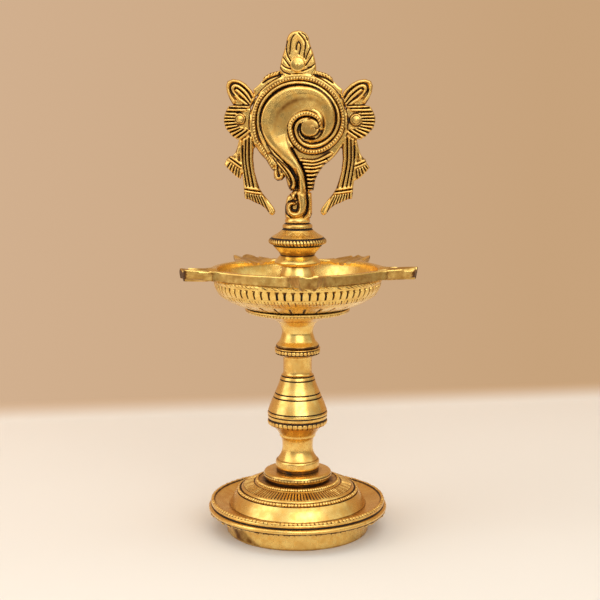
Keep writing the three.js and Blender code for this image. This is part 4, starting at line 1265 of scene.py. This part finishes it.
# %% The studs' steel
def coated_steel():
    made, tree, shader, place, grime = new_metal("coated_steel")
    mottle = noise(tree, place, 900, 4, 0.65)
    colour = blend_colour(tree, reach(tree, mottle, 0.35, 0.65), (0.52, 0.51, 0.48, 1),
                          (0.36, 0.35, 0.33, 1))
    colour = blend_colour(tree, grime, colour, (0.05, 0.04, 0.03, 1))
    plug(tree, shader, {"Base Color": colour,
                        "Roughness": reach(tree, mottle, 0.3, 0.7, 0.32, 0.55),
                        "Metallic": reach(tree, grime, 0.2, 1.0, 1.0, 0.4),
                        "Normal": bumps(tree, mottle, 0.3, 0.00005)})
    return made


def dress(material, *pieces):
    for made in pieces:
        made.data.materials.append(material)


dress(cast_brass, conch, lamp_foot, seat_ring, turned_stem, beaded_collar)
dress(rubbed_brass, turned_support, turned_boss, turned_knop, bowl)
dress(coated_steel(), lower_stud, middle_stud, upper_stud)

# %% [markdown]
# ## The studio
#
# The lamp stands on a pale table in front of a warm wall. A curved sheet gives both at once: it
# lies flat, bends up behind the lamp and stands, and its colour changes across the bend. The
# wall shows its plain colour to the camera and to the brass that mirrors it, by way of the
# light path, so no extra light falls on the lamp. From behind the sheet can't be seen at all,
# which leaves the back of the lamp open to view.

# %% Table and wall in one sheet
FLOOR_BACK = 0.305
BEND = 0.03
TABLE_FRONT = -0.75
WALL_TOP = 1.3
PAPER_HALF_WIDTH = 1.6
PAPER_TURN = 9
floor_line = [(TABLE_FRONT, 0.0), (-0.4, 0.0), (FLOOR_BACK - BEND, 0.0)]
for k in range(1, 13):
    turn = math.radians(90 * k / 12)
    floor_line.append((FLOOR_BACK - BEND + BEND * math.sin(turn), BEND * (1 - math.cos(turn))))
floor_line += [(FLOOR_BACK, 0.5), (FLOOR_BACK, WALL_TOP)]
sheet_mesh = bpy.data.meshes.new("studio_sheet")
sheet_points = [(x, y, z) for y, z in floor_line for x in (-PAPER_HALF_WIDTH, PAPER_HALF_WIDTH)]
sheet_faces = [(2 * i, 2 * i + 1, 2 * i + 3, 2 * i + 2) for i in range(len(floor_line) - 1)]
sheet_mesh.from_pydata(sheet_points, [], sheet_faces)
sheet_mesh.shade_smooth()
studio_sheet = put("studio_sheet", sheet_mesh)
studio_sheet.rotation_euler.z = math.radians(PAPER_TURN)

# %% Its two colours
paper = bpy.data.materials.new("studio_paper")
paper.use_nodes = True
tree = paper.node_tree
tree.nodes.remove(tree.nodes["Principled BSDF"])
place = shader_node(tree, "ShaderNodeTexCoord").outputs["Object"]
apart = shader_node(tree, "ShaderNodeSeparateXYZ", {0: place})
upright = reach(tree, apart.outputs[2], 0.0, 0.012)
drift = reach(tree, apart.outputs[0], -0.3, 0.25)
wall_colour = blend_colour(tree, drift, (0.66, 0.45, 0.29, 1), (0.575, 0.365, 0.20, 1))
table_colour = (0.84, 0.80, 0.74, 1)
lit = blend_colour(tree, upright, table_colour, wall_colour)
matt = shader_node(tree, "ShaderNodeBsdfDiffuse", {"Color": lit}).outputs[0]
glow = shader_node(tree, "ShaderNodeEmission", {"Color": wall_colour, "Strength": 1.0}).outputs[0]
rays = shader_node(tree, "ShaderNodeLightPath").outputs
seen = reckon(tree, "MAXIMUM", rays["Is Camera Ray"], rays["Is Glossy Ray"])
seen = reckon(tree, "MAXIMUM", seen, rays["Is Transmission Ray"])
share = reckon(tree, "MULTIPLY", seen, upright)
front = shader_node(tree, "ShaderNodeMixShader", {0: share, 1: matt, 2: glow}).outputs[0]
behind = shader_node(tree, "ShaderNodeNewGeometry").outputs["Backfacing"]
clear = shader_node(tree, "ShaderNodeBsdfTransparent").outputs[0]
one_way = shader_node(tree, "ShaderNodeMixShader", {0: behind, 1: front, 2: clear}).outputs[0]
tree.links.new(one_way, tree.nodes["Material Output"].inputs["Surface"])
studio_sheet.data.materials.append(paper)

# %% Lamps and the room's own light
def softbox(name, place, aim_height, wide, high, watts):
    light = bpy.data.lights.new(name, "AREA")
    light.shape = "RECTANGLE"
    light.size = wide
    light.size_y = high
    light.energy = watts
    made = put(name, light)
    made.location = place
    aim_line = Vector((0, 0, aim_height)) - Vector(place)
    made.rotation_euler = aim_line.to_track_quat("-Z", "Y").to_euler()


softbox("front_box", (0.35, -1.2, 0.8), 0.12, wide=1.2, high=0.9, watts=7.2)
softbox("left_box", (-1.05, -0.35, 0.6), 0.14, wide=0.8, high=1.2, watts=3.5)
softbox("top_box", (0.0, 0.0, 1.25), 0.1, wide=0.9, high=0.9, watts=1.5)

world = bpy.data.worlds.new("room")
bpy.context.scene.world = world
world.use_nodes = True
tree = world.node_tree
direction = shader_node(tree, "ShaderNodeTexCoord").outputs["Generated"]
apart = shader_node(tree, "ShaderNodeSeparateXYZ", {0: direction})
above = reach(tree, apart.outputs[2], 0.05, 0.6)
room_colour = blend_colour(tree, above, (0.24, 0.20, 0.15, 1), (1.08, 1.06, 1.0, 1))
tree.links.new(room_colour, tree.nodes["Background"].inputs["Color"])

# %% [markdown]
# ## The camera
#
# The picture was taken from a little above the bowl, 70 cm away, with a long lens. The angle and
# the lens were found by fitting the widths of the foot, the bowl and the bead rows at once.

# %% The camera and the view
CAMERA_SIDE = 1.396
CAMERA_AWAY = 700
CAMERA_HEIGHT = 240
CAMERA_TILT = 8.75
camera_data = bpy.data.cameras.new("camera")
camera_data.lens = 75.9
camera_data.sensor_width = 36
camera = put("camera", camera_data)
camera.location = (
    (AXIS_X + CAMERA_SIDE) * MM, (AXIS_Y - CAMERA_AWAY) * MM, CAMERA_HEIGHT * MM)
camera.rotation_euler = (math.radians(90 - CAMERA_TILT), 0, 0)
bpy.context.scene.camera = camera
bpy.context.scene.view_settings.view_transform = "Standard"
